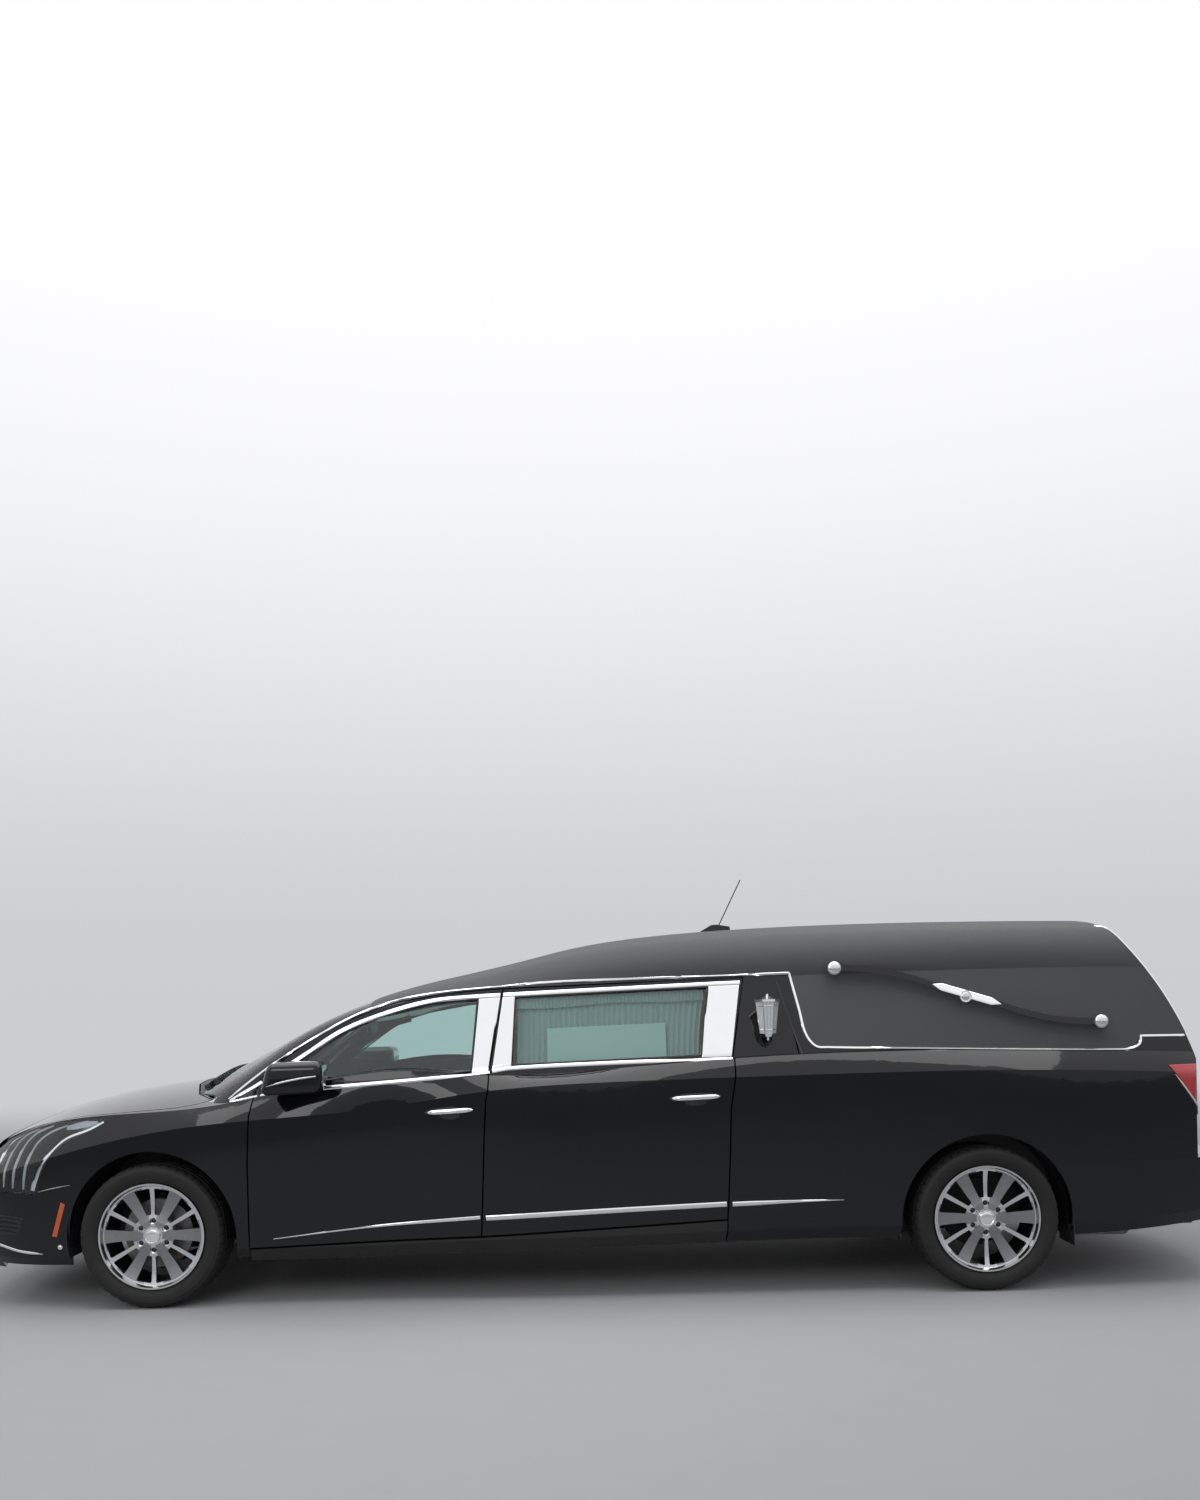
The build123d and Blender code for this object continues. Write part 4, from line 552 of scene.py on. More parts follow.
# Rubber seals round the side windows: an extruded black profile pressed between glass and frame.
# Each runs round its own window and swings with its door.
seal_finish = Finish("seal_rubber", "trim_plastic")
seal_finish.solid(((0.008, 0.008, 0.009), (0.014, 0.014, 0.015)), (50.0,), (0.5, 0.1, 30.0),
                  seal_finish.noise(700.0), 0.0001)
A_POST, B_POST, C_POST = -1.650, -0.540, 0.625
FRONT_WINDOW = [(A_POST + 0.152, 1.108), (A_POST + 0.275, 1.192), (A_POST + 0.420, 1.290),
                (A_POST + 0.540, 1.343), (A_POST + 0.660, 1.378), (A_POST + 0.860, 1.425),
                (A_POST + 1.075, 1.440), (A_POST + 1.048, 1.098), (A_POST + 0.500, 1.062)]
SIDE_WINDOW = [(B_POST + 0.152, 1.446), (C_POST - 0.071, 1.476), (C_POST - 0.114, 1.148),
               (B_POST + 0.136, 1.122)]
SEAL_HALF_WIDTH, SEAL_PROUD, SEAL_SUNK, SEAL_MARGIN = 0.0045, 0.0022, 0.006, 0.003
for name, outline, body, square in (("front_window_seal", FRONT_WINDOW, "front_door_l", (0, 6, 7)),
                                    ("side_window_seal", SIDE_WINDOW, "side_door_l", (0, 1, 2, 3))):
    middle = sum((Vector(p) for p in outline), Vector((0, 0))) / len(outline)
    line = []
    for i, p in enumerate(outline):
        grown = Vector(p) + (Vector(p) - middle).normalized() * SEAL_MARGIN
        line += [tuple(grown)] * (2 if i in square else 1)
    moulding(name, line + line[:1], SEAL_HALF_WIDTH, SEAL_PROUD, body, seal_finish, 0.025, sunk=SEAL_SUNK)


# Door handles: a plated bar on two feet, on each side door.
# Behind each bar a dark dull dome stands for the shallow well pressed into the door's skin, and a dark plastic
# dome below it for the finger cup: painted shade of the recess.
def drum(bm, middle, radius, depth, axis="Y", far_radius=None, segments=48):
    """Adds a closed drum or cone lying along one axis; the far radius is at the end away from the car."""
    turn = {"X": Matrix.Rotation(radians(-90), 4, "Y"), "Y": Matrix.Rotation(radians(90), 4, "X")}[axis]
    far = radius if far_radius is None else far_radius
    bmesh.ops.create_cone(bm, cap_ends=True, segments=segments, radius1=radius, radius2=far, depth=depth,
                          matrix=Matrix.Translation(middle) @ turn)


def dome(bm, middle, size, segments=32, rings=None):
    """Adds an ellipsoid with three half sizes."""
    ball = bmesh.ops.create_uvsphere(bm, u_segments=segments, v_segments=rings or segments // 2, radius=1.0)
    bmesh.ops.scale(bm, vec=size, verts=ball["verts"])
    bmesh.ops.translate(bm, vec=middle, verts=ball["verts"])


def hoop(centre, first, second, count):
    """Points round an ellipse with the two half axes."""
    return [centre + first * cos(tau * k / count) + second * sin(tau * k / count) for k in range(count)]


HANDLES = [("front_handle", "front_door_l", -0.800, -0.583, 0.908, 0.918),
           ("side_handle", "side_door_l", 0.358, 0.585, 0.950, 0.957)]
HANDLE_RADIUS, HANDLE_STANDOFF, HANDLE_BOW, HANDLE_STEPS = 0.0115, 0.026, 0.010, 24
FOOT_SHARES, FOOT_RADII = (0.10, 0.90), (0.009, 0.007)
WELL_MARGIN, WELL_DEPTH, WELL_HALF_HEIGHT = 0.014, 0.0022, 0.0195
CUP_SIZE, CUP_DROP = (0.056, 0.0030, 0.024), 0.017
for name, body, x0, x1, z0, z1 in HANDLES:
    depth = side_y((x0 + x1) / 2, (z0 + z1) / 2)
    start, end = Vector((x0, depth, z0)), Vector((x1, depth, z1))
    sections = []
    for i in range(HANDLE_STEPS + 1):
        t = i / HANDLE_STEPS
        bow = abs(2 * t - 1)
        radius = HANDLE_RADIUS * max(0.12, sqrt(1 - bow ** 6))
        centre = start.lerp(end, t) - Vector((0, HANDLE_STANDOFF - HANDLE_BOW * bow ** 3, 0))
        sections.append(hoop(centre, Vector((0, 0, radius)), Vector((0, 0.62 * radius, 0)), 16))
    bm = skinned(sections)
    for t in FOOT_SHARES:
        foot = start.lerp(end, t) - Vector((0, HANDLE_STANDOFF / 2, 0))
        drum(bm, foot, FOOT_RADII[0], HANDLE_STANDOFF, far_radius=FOOT_RADII[1], segments=16)
    pair(name, bm, chrome, body)
    # The well and cup are dark shells laid on the skin: painted shade where the recess is.
    well_shade = bmesh.new()
    dome(well_shade, (0, 0, 0), ((x1 - x0) / 2 + WELL_MARGIN, WELL_DEPTH, WELL_HALF_HEIGHT), 48, 12)
    slope = Matrix.Rotation(-atan2(z1 - z0, x1 - x0), 3, "Y")
    bmesh.ops.rotate(well_shade, cent=(0, 0, 0), matrix=slope, verts=well_shade.verts)
    bmesh.ops.translate(well_shade, vec=(start + end) / 2, verts=well_shade.verts)
    pair(name + "_well", well_shade, seal_finish, body)
    cup_shade = bmesh.new()
    dome(cup_shade, (start + end) / 2 - Vector((0, 0, CUP_DROP)), CUP_SIZE, 32, 12)
    pair(name + "_cup", cup_shade, plastic, body)


# Tyres: radial road tyres with four main grooves, cut shoulder blocks and plain ribbed walls.
# Black rubber, dull, with a trace of road dust on the tread.
WHEELS = ["front_wheel_left", "front_wheel_right", "rear_wheel_left", "rear_wheel_right"]
PIVOTS = {joint["name"]: Vector(joint["pos_m"]) for joint in frame["joints"]}
WHEEL_PLACES = {name: PIVOTS[name + "_spin"] for name in WHEELS}
TYRE_HALF_PROFILE = [(0.098, 0.252), (0.110, 0.262), (0.1205, 0.282), (0.1215, 0.284), (0.1250, 0.302),
                     (0.1240, 0.314), (0.1225, 0.316), (0.1180, 0.329), (0.1140, 0.331), (0.1060, 0.338),
                     (0.0950, 0.3415), (0.0690, 0.3432), (0.0680, 0.3362), (0.0590, 0.3362), (0.0580, 0.3436),
                     (0.0270, 0.3440), (0.0262, 0.3368), (0.0165, 0.3368), (0.0158, 0.3440), (0.0, 0.3440)]
TYRE_STEPS, BLOCK_STEPS = 288, 6
SHOULDER, MIDDLE_BLOCK, TREAD_FLOOR, SIPE_DEPTH = (0.066, 0.110), 0.056, 0.337, 0.005
rubber = Finish("tyre_rubber", "tyre_rubber")
rubber.solid(((0.012, 0.012, 0.0125), (0.024, 0.023, 0.022)), (18.0, 5.0), (0.62, 0.14, 45.0),
             rubber.noise(600.0, 2.0), 0.0002, 0.6, {"Specular IOR Level": 0.35})
profile = TYRE_HALF_PROFILE + [(-a, r) for a, r in reversed(TYRE_HALF_PROFILE[:-1])]
for name, centre in WHEEL_PLACES.items():
    sections = []
    for i in range(TYRE_STEPS):
        angle = tau * i / TYRE_STEPS
        loop = []
        for a, r in profile:
            shoulder = SHOULDER[0] < abs(a) < SHOULDER[1] and i % BLOCK_STEPS == 0
            block = abs(a) < MIDDLE_BLOCK and (i + 3) % (2 * BLOCK_STEPS) == 0
            radius = r - (SIPE_DEPTH if (shoulder or block) and r > TREAD_FLOOR else 0.0)
            loop.append(centre + Vector((radius * cos(angle), a, radius * sin(angle))))
        sections.append(loop)
    body = name.replace("_left", "_l").replace("_right", "_r")
    tyre = piece(name.replace("wheel", "tyre"), skinned(sections, True), rubber, body, 30.0)
    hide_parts(name.replace("wheel", "tyre"))

# Wheels: six broad duller spokes and six narrow bright ones in a polished rim, on 19-inch wheels.
# The finish is told apart by the angle and radius round each wheel's own middle.
for axle in ("front", "rear"):
    hub_x, hub_z = WHEEL_PLACES[axle + "_wheel_left"].x, WHEEL_PLACES[axle + "_wheel_left"].z
    alloy = Finish("wheel_alloy_" + axle)
    place_x, place_y, place_z = alloy.axes()
    across, up = place_x - hub_x, place_z - hub_z
    radius = (across * across + up * up).root()
    turned = alloy.node("ShaderNodeMath", {"operation": "ARCTAN2"}, {0: up, 1: across}) * 6.0
    broad = (turned + pi / 2).wave().over(-0.35) * radius.over(0.046) * (1.0 - radius.over(0.232))
    broad = broad * place_y.size().over(0.842)
    # Inside the rim, behind the spokes, the colour is painted darker and the gloss duller: painted shade
    # between the spokes.
    painted_shade_barrel = (1.0 - place_y.size().over(0.835)) * radius.over(0.1)
    brushed = alloy.noise(30.0, 4.0)
    bright = alloy.mixed(brushed, (0.62, 0.63, 0.64), (0.74, 0.74, 0.75))
    # Broad spokes: the same chrome, coloured darker as a painted reflection of dark ground.
    spoke_painted_reflection = alloy.mixed(brushed, (0.25, 0.25, 0.26), (0.31, 0.31, 0.32))
    face = alloy.mixed(broad, bright, spoke_painted_reflection)
    alloy.shade({"Base Color": alloy.mixed(painted_shade_barrel, face, (0.20, 0.20, 0.205)), "Metallic": 1.0,
                 "Roughness": 0.16 + broad * 0.20 + painted_shade_barrel * 0.18 + brushed * 0.06,
                 "Normal": alloy.bumped(alloy.noise(500.0, 1.0), 0.00003)})
    dress([axle + "_rim_left", axle + "_rim_right"], alloy)

# Wheel nuts in their pockets, the plain hub cap with its raised ring, and the polished edge of each rim.
# The nuts are dark plated steel on six studs; the cap is a chromed pressing clipped into the hub.
NUT_CIRCLE, NUT_RADIUS, NUT_FACE, NUT_LENGTH = 0.070, 0.0130, 0.070, 0.020
CAP_FACE, CAP_SIZE = 0.1005, (0.0305, 0.0035, 0.0305)
RINGS, RING_THICKNESS, RING_STEPS = ((0.0335, CAP_FACE), (0.2475, 0.1085)), 0.0028, 128
dark_chrome = Finish("dark_chrome", "wheel_alloy")
dark_chrome.solid(((0.035, 0.035, 0.038), (0.06, 0.06, 0.064)), (60.0,), (0.14, 0.08, 80.0),
                  dark_chrome.noise(150.0), 0.00004, others={"Metallic": 1.0})
for name, centre in WHEEL_PLACES.items():
    out = Vector((0, copysign(1.0, centre.y), 0))
    body = name.replace("_left", "_l").replace("_right", "_r")
    nuts, cap = bmesh.new(), bmesh.new()
    for i in range(6):
        angle = radians(60 * i + 30)
        spot = centre + out * (NUT_FACE - 0.006)
        spot += Vector((NUT_CIRCLE * cos(angle), 0, NUT_CIRCLE * sin(angle)))
        drum(nuts, spot, NUT_RADIUS, NUT_LENGTH, segments=6)
        dome(nuts, spot + out * NUT_LENGTH / 2, (NUT_RADIUS * 0.92, 0.006, NUT_RADIUS * 0.92), 16)
        drum(nuts, spot - out * 0.006, NUT_RADIUS * 1.3, 0.006, segments=24)
    piece(name.replace("wheel", "nuts"), nuts, dark_chrome, body)
    dome(cap, centre + out * CAP_FACE, CAP_SIZE, 48)
    for ring_radius, ring_place in RINGS:
        sections = []
        for i in range(RING_STEPS):
            away = Vector((cos(tau * i / RING_STEPS), 0, sin(tau * i / RING_STEPS)))
            sections.append(hoop(centre + away * ring_radius + out * ring_place, away * RING_THICKNESS,
                                 out * RING_THICKNESS, 10))
        ring = skinned(sections, True)
        part = bpy.data.meshes.new("ring")
        ring.to_mesh(part)
        ring.free()
        cap.from_mesh(part)
        bpy.data.meshes.remove(part)
    piece(name.replace("wheel", "hub_cap"), cap, chrome, body, slot="wheel_alloy")


# Head lamps: clear outer lens over a smoked inner housing with bright reflector bands and light guides.
# Moulded plastic units set into the corners of the nose; the bands lie just under the lens.
def ribbed(name, slot, colours, patch, gloss, pitch, depth):
    """Finish of clear-faced plastic with fine ribs moulded across it."""
    made = Finish(name, slot)
    ribs = (made.axes()[2] * pitch).wave()
    return made.solid(colours, (patch,), gloss, ribs, depth, 0.5, {"Coat Weight": 1.0})


lens = clear_film("lamp_glass", (0.90, 0.93, 0.95), 0.02)
dress(["headlamps"], lens)
housing_finish = Finish("lamp_housing", "trim_plastic")
housing_finish.solid(((0.03, 0.032, 0.036), (0.07, 0.075, 0.08)), (12.0,), (0.22, 0.1, 25.0),
                     housing_finish.noise(80.0), 0.0002, others={"Metallic": 0.7})
guide_finish = ribbed("light_guide", "lamp_glass", ((0.62, 0.67, 0.70), (0.78, 0.82, 0.84)), 20.0,
                      (0.18, 0.06, 40.0), 900.0, 0.0004)
LENS_SKIN = surface(["headlamps"])
HOUSING_DEPTH, BAND_DEPTH, BAND_THICKNESS = 0.007, 0.0042, 0.002
housing = bmesh.new()
housing.from_mesh(frame["nodes"]["headlamps"].data)
bmesh.ops.remove_doubles(housing, verts=housing.verts, dist=1e-5)
housing.normal_update()
for vert, inward in [(v, v.normal * -HOUSING_DEPTH) for v in housing.verts]:
    vert.co += inward
piece("headlamp_housing", housing, housing_finish, "root")
LAMP_BANDS = [("border", chrome, 0.0115, (0.7, 0.8),
               [(-2.372, 0.893), (-2.445, 0.858), (-2.548, 0.821), (-2.606, 0.776), (-2.667, 0.697),
                (-2.703, 0.612), (-2.716, 0.566)]),
              ("tip", guide_finish, 0.018, (0.3, 0.6), [(-2.400, 0.890), (-2.470, 0.879), (-2.560, 0.862)]),
              ("guide_1", guide_finish, 0.0065, (0.6, 0.6),
               [(-2.560, 0.874), (-2.650, 0.840), (-2.712, 0.790), (-2.742, 0.720), (-2.758, 0.640),
                (-2.766, 0.572)]),
              ("guide_2", guide_finish, 0.0065, (0.6, 0.6),
               [(-2.640, 0.872), (-2.730, 0.836), (-2.782, 0.784), (-2.806, 0.710), (-2.818, 0.640),
                (-2.824, 0.576)]),
              ("guide_3", guide_finish, 0.0055, (0.6, 0.6),
               [(-2.720, 0.856), (-2.800, 0.820), (-2.846, 0.770), (-2.866, 0.700), (-2.876, 0.580)]),
              ("guide_4", chrome, 0.0075, (0.6, 0.6),
               [(-2.800, 0.834), (-2.880, 0.792), (-2.910, 0.745), (-2.926, 0.690)])]
for name, finish, half_height, ends, points in LAMP_BANDS:
    moulding("headlamp_" + name, points, half_height, BAND_THICKNESS, "root", finish, 0.012, ends,
             sunk=BAND_THICKNESS, lift=-BAND_DEPTH, skin=LENS_SKIN, slot="lamp_glass")

# Front corners: amber marker lamp, parking sensor, corner intake with its slats, and the bumper's thin lip.
# The chromed grille in the middle has a flat woven mesh sheet behind its bars, its gaps painted near black as
# painted shade.
amber = ribbed("amber_lens", "red_lens", ((0.62, 0.075, 0.008), (0.75, 0.11, 0.012)), 25.0,
               (0.16, 0.08, 60.0), 1400.0, 0.0004)
MARKER = [(-2.624, 0.346), (-2.600, 0.341), (-2.549, 0.500), (-2.570, 0.511)]
plated("marker_lamp", MARKER, 0.0035, amber, "root", (6, 20), 0.002)
SENSOR, SENSOR_RADIUS, SENSOR_EYE = (-2.588, 0.2925), 0.0115, (0.0075, 0.002, 0.0075)
sensor = bmesh.new()
sensor_y = side_y(*SENSOR)
drum(sensor, (SENSOR[0], sensor_y, SENSOR[1]), SENSOR_RADIUS, 0.004, segments=32)
dome(sensor, (SENSOR[0], sensor_y - 0.002, SENSOR[1]), SENSOR_EYE, 24)
pair("parking_sensor", sensor, chrome, "root")
LIP = [(-2.990, 0.310), (-2.900, 0.292), (-2.800, 0.268), (-2.680, 0.257)]
moulding("bumper_lip", LIP, 0.0065, 0.005, ends=(1.0, 0.2))
INTAKE = [(-2.960, 0.345), (-2.800, 0.352), (-2.772, 0.432), (-2.960, 0.452)]
SLAT_FOOT, SLAT_PITCH, SLAT_HALF_HEIGHT, SLAT_PROUD = 0.362, 0.022, 0.0042, 0.006
plated("corner_intake", INTAKE, 0.0012, plastic, "root", (16, 8), 0.0006)
for i in range(4):
    z = SLAT_FOOT + SLAT_PITCH * i
    moulding(f"intake_slat_{i + 1}", [(-2.955, z), (-2.880, z + 0.004), (-2.806 + 0.008 * i, z - 0.004)],
             SLAT_HALF_HEIGHT, SLAT_PROUD, "root", paint, ends=(1.0, 0.2))
dress(["grille"], chrome)
mesh_finish = Finish("grille_mesh", "trim_plastic")
_, mesh_y, mesh_z = mesh_finish.axes()
weave = (mesh_y * 400.0).wave() * (mesh_z * 400.0).wave()
# The low cells of the weave are painted near black: painted shade of the dark space behind the mesh.
mesh_finish.solid(((0.003, 0.003, 0.003), (0.035, 0.035, 0.037)), weave.over(0.1), (0.45, 0.1, 40.0), weave,
                  0.001, 0.8)
MESH_X, MESH_THICKNESS = -3.056, 0.003
(MESH_FOOT, FOOT_HALF), (MESH_HEAD, HEAD_HALF) = (0.3425, 0.245), (0.7525, 0.355)
bm = gridded(1, 1, lambda s, t: Vector((MESH_X, (2 * s - 1) * (FOOT_HALF + (HEAD_HALF - FOOT_HALF) * t),
                                        MESH_FOOT + (MESH_HEAD - MESH_FOOT) * t)))
bmesh.ops.recalc_face_normals(bm, faces=bm.faces)
bmesh.ops.solidify(bm, geom=bm.faces[:], thickness=MESH_THICKNESS)
piece("grille_mesh", bm, mesh_finish, "root")


# Door mirrors: a full housing in black body paint, leaning forward at its foot, with one bright line across.
# It stands on a short foot at the front corner of the window; the dark glass faces back.
def rod(bm, start, end, radius, far_radius=None, segments=16):
    """Adds a round rod between two points."""
    start, end = Vector(start), Vector(end)
    turn = (end - start).to_track_quat("Z", "Y").to_matrix().to_4x4()
    far = radius if far_radius is None else far_radius
    bmesh.ops.create_cone(bm, cap_ends=True, segments=segments, radius1=radius, radius2=far,
                          depth=(end - start).length, matrix=Matrix.Translation((start + end) / 2) @ turn)


def slab(bm, low, high, rounding, segments=3):
    """Adds a block between two corners with rounded edges."""
    low, high = Vector(low), Vector(high)
    made = bmesh.ops.create_cube(bm, size=1.0)["verts"]
    bmesh.ops.scale(bm, vec=high - low, verts=made)
    bmesh.ops.translate(bm, vec=(low + high) / 2, verts=made)
    edges = list({e for v in made for e in v.link_edges})
    bmesh.ops.bevel(bm, geom=edges, offset=rounding, offset_type="OFFSET", affect="EDGES", segments=segments,
                    profile=0.5, material=-1)


MIRROR_MIDDLE, MIRROR_HALF = Vector((-1.396, -0.982, 1.092)), Vector((0.134, 0.101, 0.071))
MIRROR_ROUNDING, FOOT_LEAN, INNER_SLANT = 0.038, 0.020, 0.014
MIRROR_FOOT = (-1.378, -0.835, 1.040), (-1.392, -0.915, 1.075), 0.026, 0.034, 32
MIRROR_LINE = [(-1.518, 1.056), (-1.440, 1.076), (-1.350, 1.092), (-1.288, 1.099)]
GLASS_HALF = Vector((0.0025, 0.066, 0.040))
body_bm = bmesh.new()
slab(body_bm, -MIRROR_HALF, MIRROR_HALF, MIRROR_ROUNDING, 7)
for vert in body_bm.verts:
    forward = (MIRROR_HALF.x - vert.co.x) / (2 * MIRROR_HALF.x)
    low = -vert.co.z / MIRROR_HALF.z
    inward = (vert.co.y + MIRROR_HALF.y) / (2 * MIRROR_HALF.y)
    vert.co.x -= FOOT_LEAN * forward * (0.3 + low)
    vert.co.z -= 0.010 * forward * max(low, 0) - 0.004 * max(-low, 0) * (1 - forward)
    vert.co.x -= INNER_SLANT * inward
bmesh.ops.translate(body_bm, vec=MIRROR_MIDDLE, verts=body_bm.verts)
MIRROR_SKIN = BVHTree.FromBMesh(body_bm)
rod(body_bm, *MIRROR_FOOT)
housings = pair("mirror_housing", body_bm, paint, "front_door_l", 40.0)
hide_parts("mirror_left")
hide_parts("mirror_right")
moulding("mirror_line", MIRROR_LINE, 0.0036, 0.0022, "front_door_l", step=0.008, ends=(0.3, 0.6),
         skin=MIRROR_SKIN)
mirror_glass = Finish("mirror_glass", "bright_trim")
mirror_glass.solid(((0.55, 0.58, 0.62), (0.60, 0.62, 0.66)), (3.0,), (0.02, 0.02, 5.0),
                   others={"Metallic": 1.0})
face = bmesh.new()
slab(face, -GLASS_HALF, GLASS_HALF, 0.0024)
slant = Matrix.Rotation(atan2(INNER_SLANT, 2 * MIRROR_HALF.y), 3, "Z")
bmesh.ops.rotate(face, cent=(0, 0, 0), matrix=slant, verts=face.verts)
back = MIRROR_SKIN.ray_cast(Vector((-1.0, MIRROR_MIDDLE.y, MIRROR_MIDDLE.z)), Vector((-1, 0, 0)))[0]
bmesh.ops.translate(face, vec=(back.x + 0.0008, MIRROR_MIDDLE.y, MIRROR_MIDDLE.z + 0.002), verts=face.verts)
pair("mirror_glass", face, mirror_glass, "front_door_l")

# Carriage lanterns: tapered six-sided chrome frames with pale glass panes, a crown above and a spike below.
# Each hangs on an arm from a round base, screwed to the panel behind the side door.
LANTERN_RINGS = [(0.0, 0.005), (0.012, 0.009), (0.018, 0.024), (0.034, 0.036), (0.184, 0.052), (0.186, 0.060),
                 (0.196, 0.060), (0.206, 0.030), (0.214, 0.008), (0.2225, 0.006)]
PANE_STAGE, PANE_INSET = 3, 0.002
POST_RADIUS, RAIL_RADIUS, BAR_RADIUS = 0.0032, 0.0020, 0.0012
milk = Finish("lantern_glass", "lamp_glass")
milk.solid(((0.70, 0.73, 0.75), (0.80, 0.82, 0.83)), (16.0,), (0.22, 0.08, 40.0), milk.noise(90.0), 0.0003,
           others={"Coat Weight": 1.0})
low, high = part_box("coach_lamps")
lamp_x, lamp_y, foot_z = (low.x + high.x) / 2, low.y + 0.060 * cos(radians(30)), low.z


def lamp_spot(rise, radius=0.0, angle=0.0):
    """Place on the left lantern, above its foot."""
    return Vector((lamp_x + radius * cos(angle), lamp_y + radius * sin(angle), foot_z + rise))


frame_bm, panes = bmesh.new(), bmesh.new()
for i, ((z0, r0), (z1, r1)) in enumerate(zip(LANTERN_RINGS, LANTERN_RINGS[1:])):
    part, inset = (panes, PANE_INSET) if i == PANE_STAGE else (frame_bm, 0.0)
    middle = Matrix.Translation(lamp_spot((z0 + z1) / 2)) @ Matrix.Rotation(radians(30), 4, "Z")
    bmesh.ops.create_cone(part, cap_ends=True, segments=6, radius1=r0 - inset, radius2=r1 - inset,
                          depth=z1 - z0, matrix=middle)
(z0, r0), (z1, r1) = LANTERN_RINGS[PANE_STAGE:PANE_STAGE + 2]
for i in range(6):
    a, b = radians(60 * i), radians(60 * i + 60)
    foot, next_foot = lamp_spot(z0, r0, a), lamp_spot(z0, r0, b)
    head, next_head = lamp_spot(z1, r1, a), lamp_spot(z1, r1, b)
    rod(frame_bm, foot, head, POST_RADIUS, segments=8)
    for share in (0.12, 0.88):
        rod(frame_bm, foot.lerp(head, share), next_foot.lerp(next_head, share), RAIL_RADIUS, segments=8)
    for share in (1 / 3, 2 / 3):
        rod(frame_bm, foot.lerp(next_foot, share), head.lerp(next_head, share), BAR_RADIUS, segments=6)
dome(frame_bm, lamp_spot(0.006), (0.007, 0.007, 0.006), 16)
dome(frame_bm, lamp_spot(0.016), (0.012, 0.012, 0.004), 16)
arm = lamp_spot(0.070)
arm_y = side_y(arm.x, arm.z, surface(["rear_quarters", "body_frame", "roof"])) or -0.80
rod(frame_bm, arm, (arm.x, arm_y + 0.004, arm.z), 0.009)
drum(frame_bm, (arm.x, arm_y - 0.002, arm.z), 0.024, 0.008, segments=32)
lanterns = pair("lantern_frame", frame_bm, chrome, "root", 30.0)
pair("lantern_panes", panes, milk, "root", 30.0)
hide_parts("coach_lamps")

# Landau irons: painted bar with a pointed chrome sleeve and a plain medallion, and bright knobs at its ends.
# The irons are cast, and stand on their two knobs off the vinyl.
LANDAU_SKIN = surface(["landau_bars"])
SLEEVE = [(1.648, 1.4655), (1.730, 1.4390), (1.850, 1.4010), (1.972, 1.3620)]
MEDAL_X, MEDAL_Z, MEDAL_RADIUS, MEDAL_RIM, RIM_STEPS = 1.802, 1.404, 0.029, 0.0265, 24
KNOBS, KNOB_DOME, KNOB_RADIUS, KNOB_DEPTH = ((1.175, 1.556), (2.446, 1.271)), 0.0305, 0.0325, 0.021
moulding("landau_sleeve", SLEEVE, 0.0185, 0.004, step=0.008, ends=(0.06, 0.06), sunk=0.012, taper=0.045,
         skin=LANDAU_SKIN)
medal = bmesh.new()
middle = Vector((MEDAL_X, side_y(MEDAL_X, MEDAL_Z + 0.010, LANDAU_SKIN), MEDAL_Z))
drum(medal, middle - Vector((0, 0.004, 0)), MEDAL_RADIUS, 0.012)
dome(medal, middle - Vector((0, 0.010, 0)), (0.022, 0.004, 0.022))
rim = hoop(middle - Vector((0, 0.011, 0)), Vector((MEDAL_RIM, 0, 0)), Vector((0, 0, MEDAL_RIM)), RIM_STEPS)
for near, far in zip(rim, rim[1:] + rim[:1]):
    rod(medal, near, far, 0.0022, segments=8)
knobs = bmesh.new()
for x, z in KNOBS:
    y = side_y(x, z, LANDAU_SKIN)
    dome(knobs, (x, y, z), (KNOB_DOME, 0.009, KNOB_DOME))
    drum(knobs, (x, y + KNOB_DEPTH / 2 + 0.001, z), KNOB_RADIUS, KNOB_DEPTH)
pair("landau_medallion", medal, chrome, "root")
pair("landau_knobs", knobs, chrome, "root")

# Tail lamps: ribbed red plastic lenses let into the rear corners.
# A bright line runs down the front edge of each.
red = ribbed("red_lens", "red_lens", ((0.42, 0.006, 0.012), (0.62, 0.02, 0.03)), 9.0, (0.12, 0.06, 30.0),
             700.0, 0.0006)
dress(["tail_lamps"], red)
TAIL_LENS = [(2.889, 0.842), (2.966, 0.842), (2.966, 1.058), (2.738, 1.056)]
TAIL_LINE = [(2.762, 1.012), (2.826, 0.925), (2.878, 0.852), (2.900, 0.812)]
plated("tail_lamp_lens", TAIL_LENS, 0.004, red, "root", (18, 24), 0.0015)
moulding("tail_lamp_line", TAIL_LINE, 0.0045, 0.006, step=0.01, ends=(0.3, 0.6))

# Rear corners: a bright bead down the rear edge of the vinyl on each side, and a thin seam on the quarter.
# The bead is a drawn chromed strip that hides the cloth's cut edge.
CORNER_BEAD = [(2.546, -0.520, 1.766), (2.636, -0.600, 1.669), (2.755, -0.660, 1.490), (2.908, -0.740, 1.191)]
CORNER_RADIUS = 0.0055
ROOF_SKIN = surface(["roof"])
stations = []
for place in trace(CORNER_BEAD, 0.03):
    spot, normal = ROOF_SKIN.find_nearest(place)[:2]
    stations.append(spot + normal * 0.002)
sections = []
for i, spot in enumerate(stations):
    along = (stations[min(i + 1, len(stations) - 1)] - stations[max(i - 1, 0)]).normalized()
    side = along.cross(Vector((0, 1, 0))).normalized()
    sections.append(hoop(spot, side * CORNER_RADIUS, side.cross(along) * CORNER_RADIUS, 10))
pair("tail_corner_bead", skinned(sections), chrome, "root")
SEAM = [(0.896, 1.502), (0.944, 1.320), (0.992, 1.138)]
moulding("quarter_seam", SEAM, 0.0035, 0.0008, finish=seal_finish, ends=(0.6, 0.6))

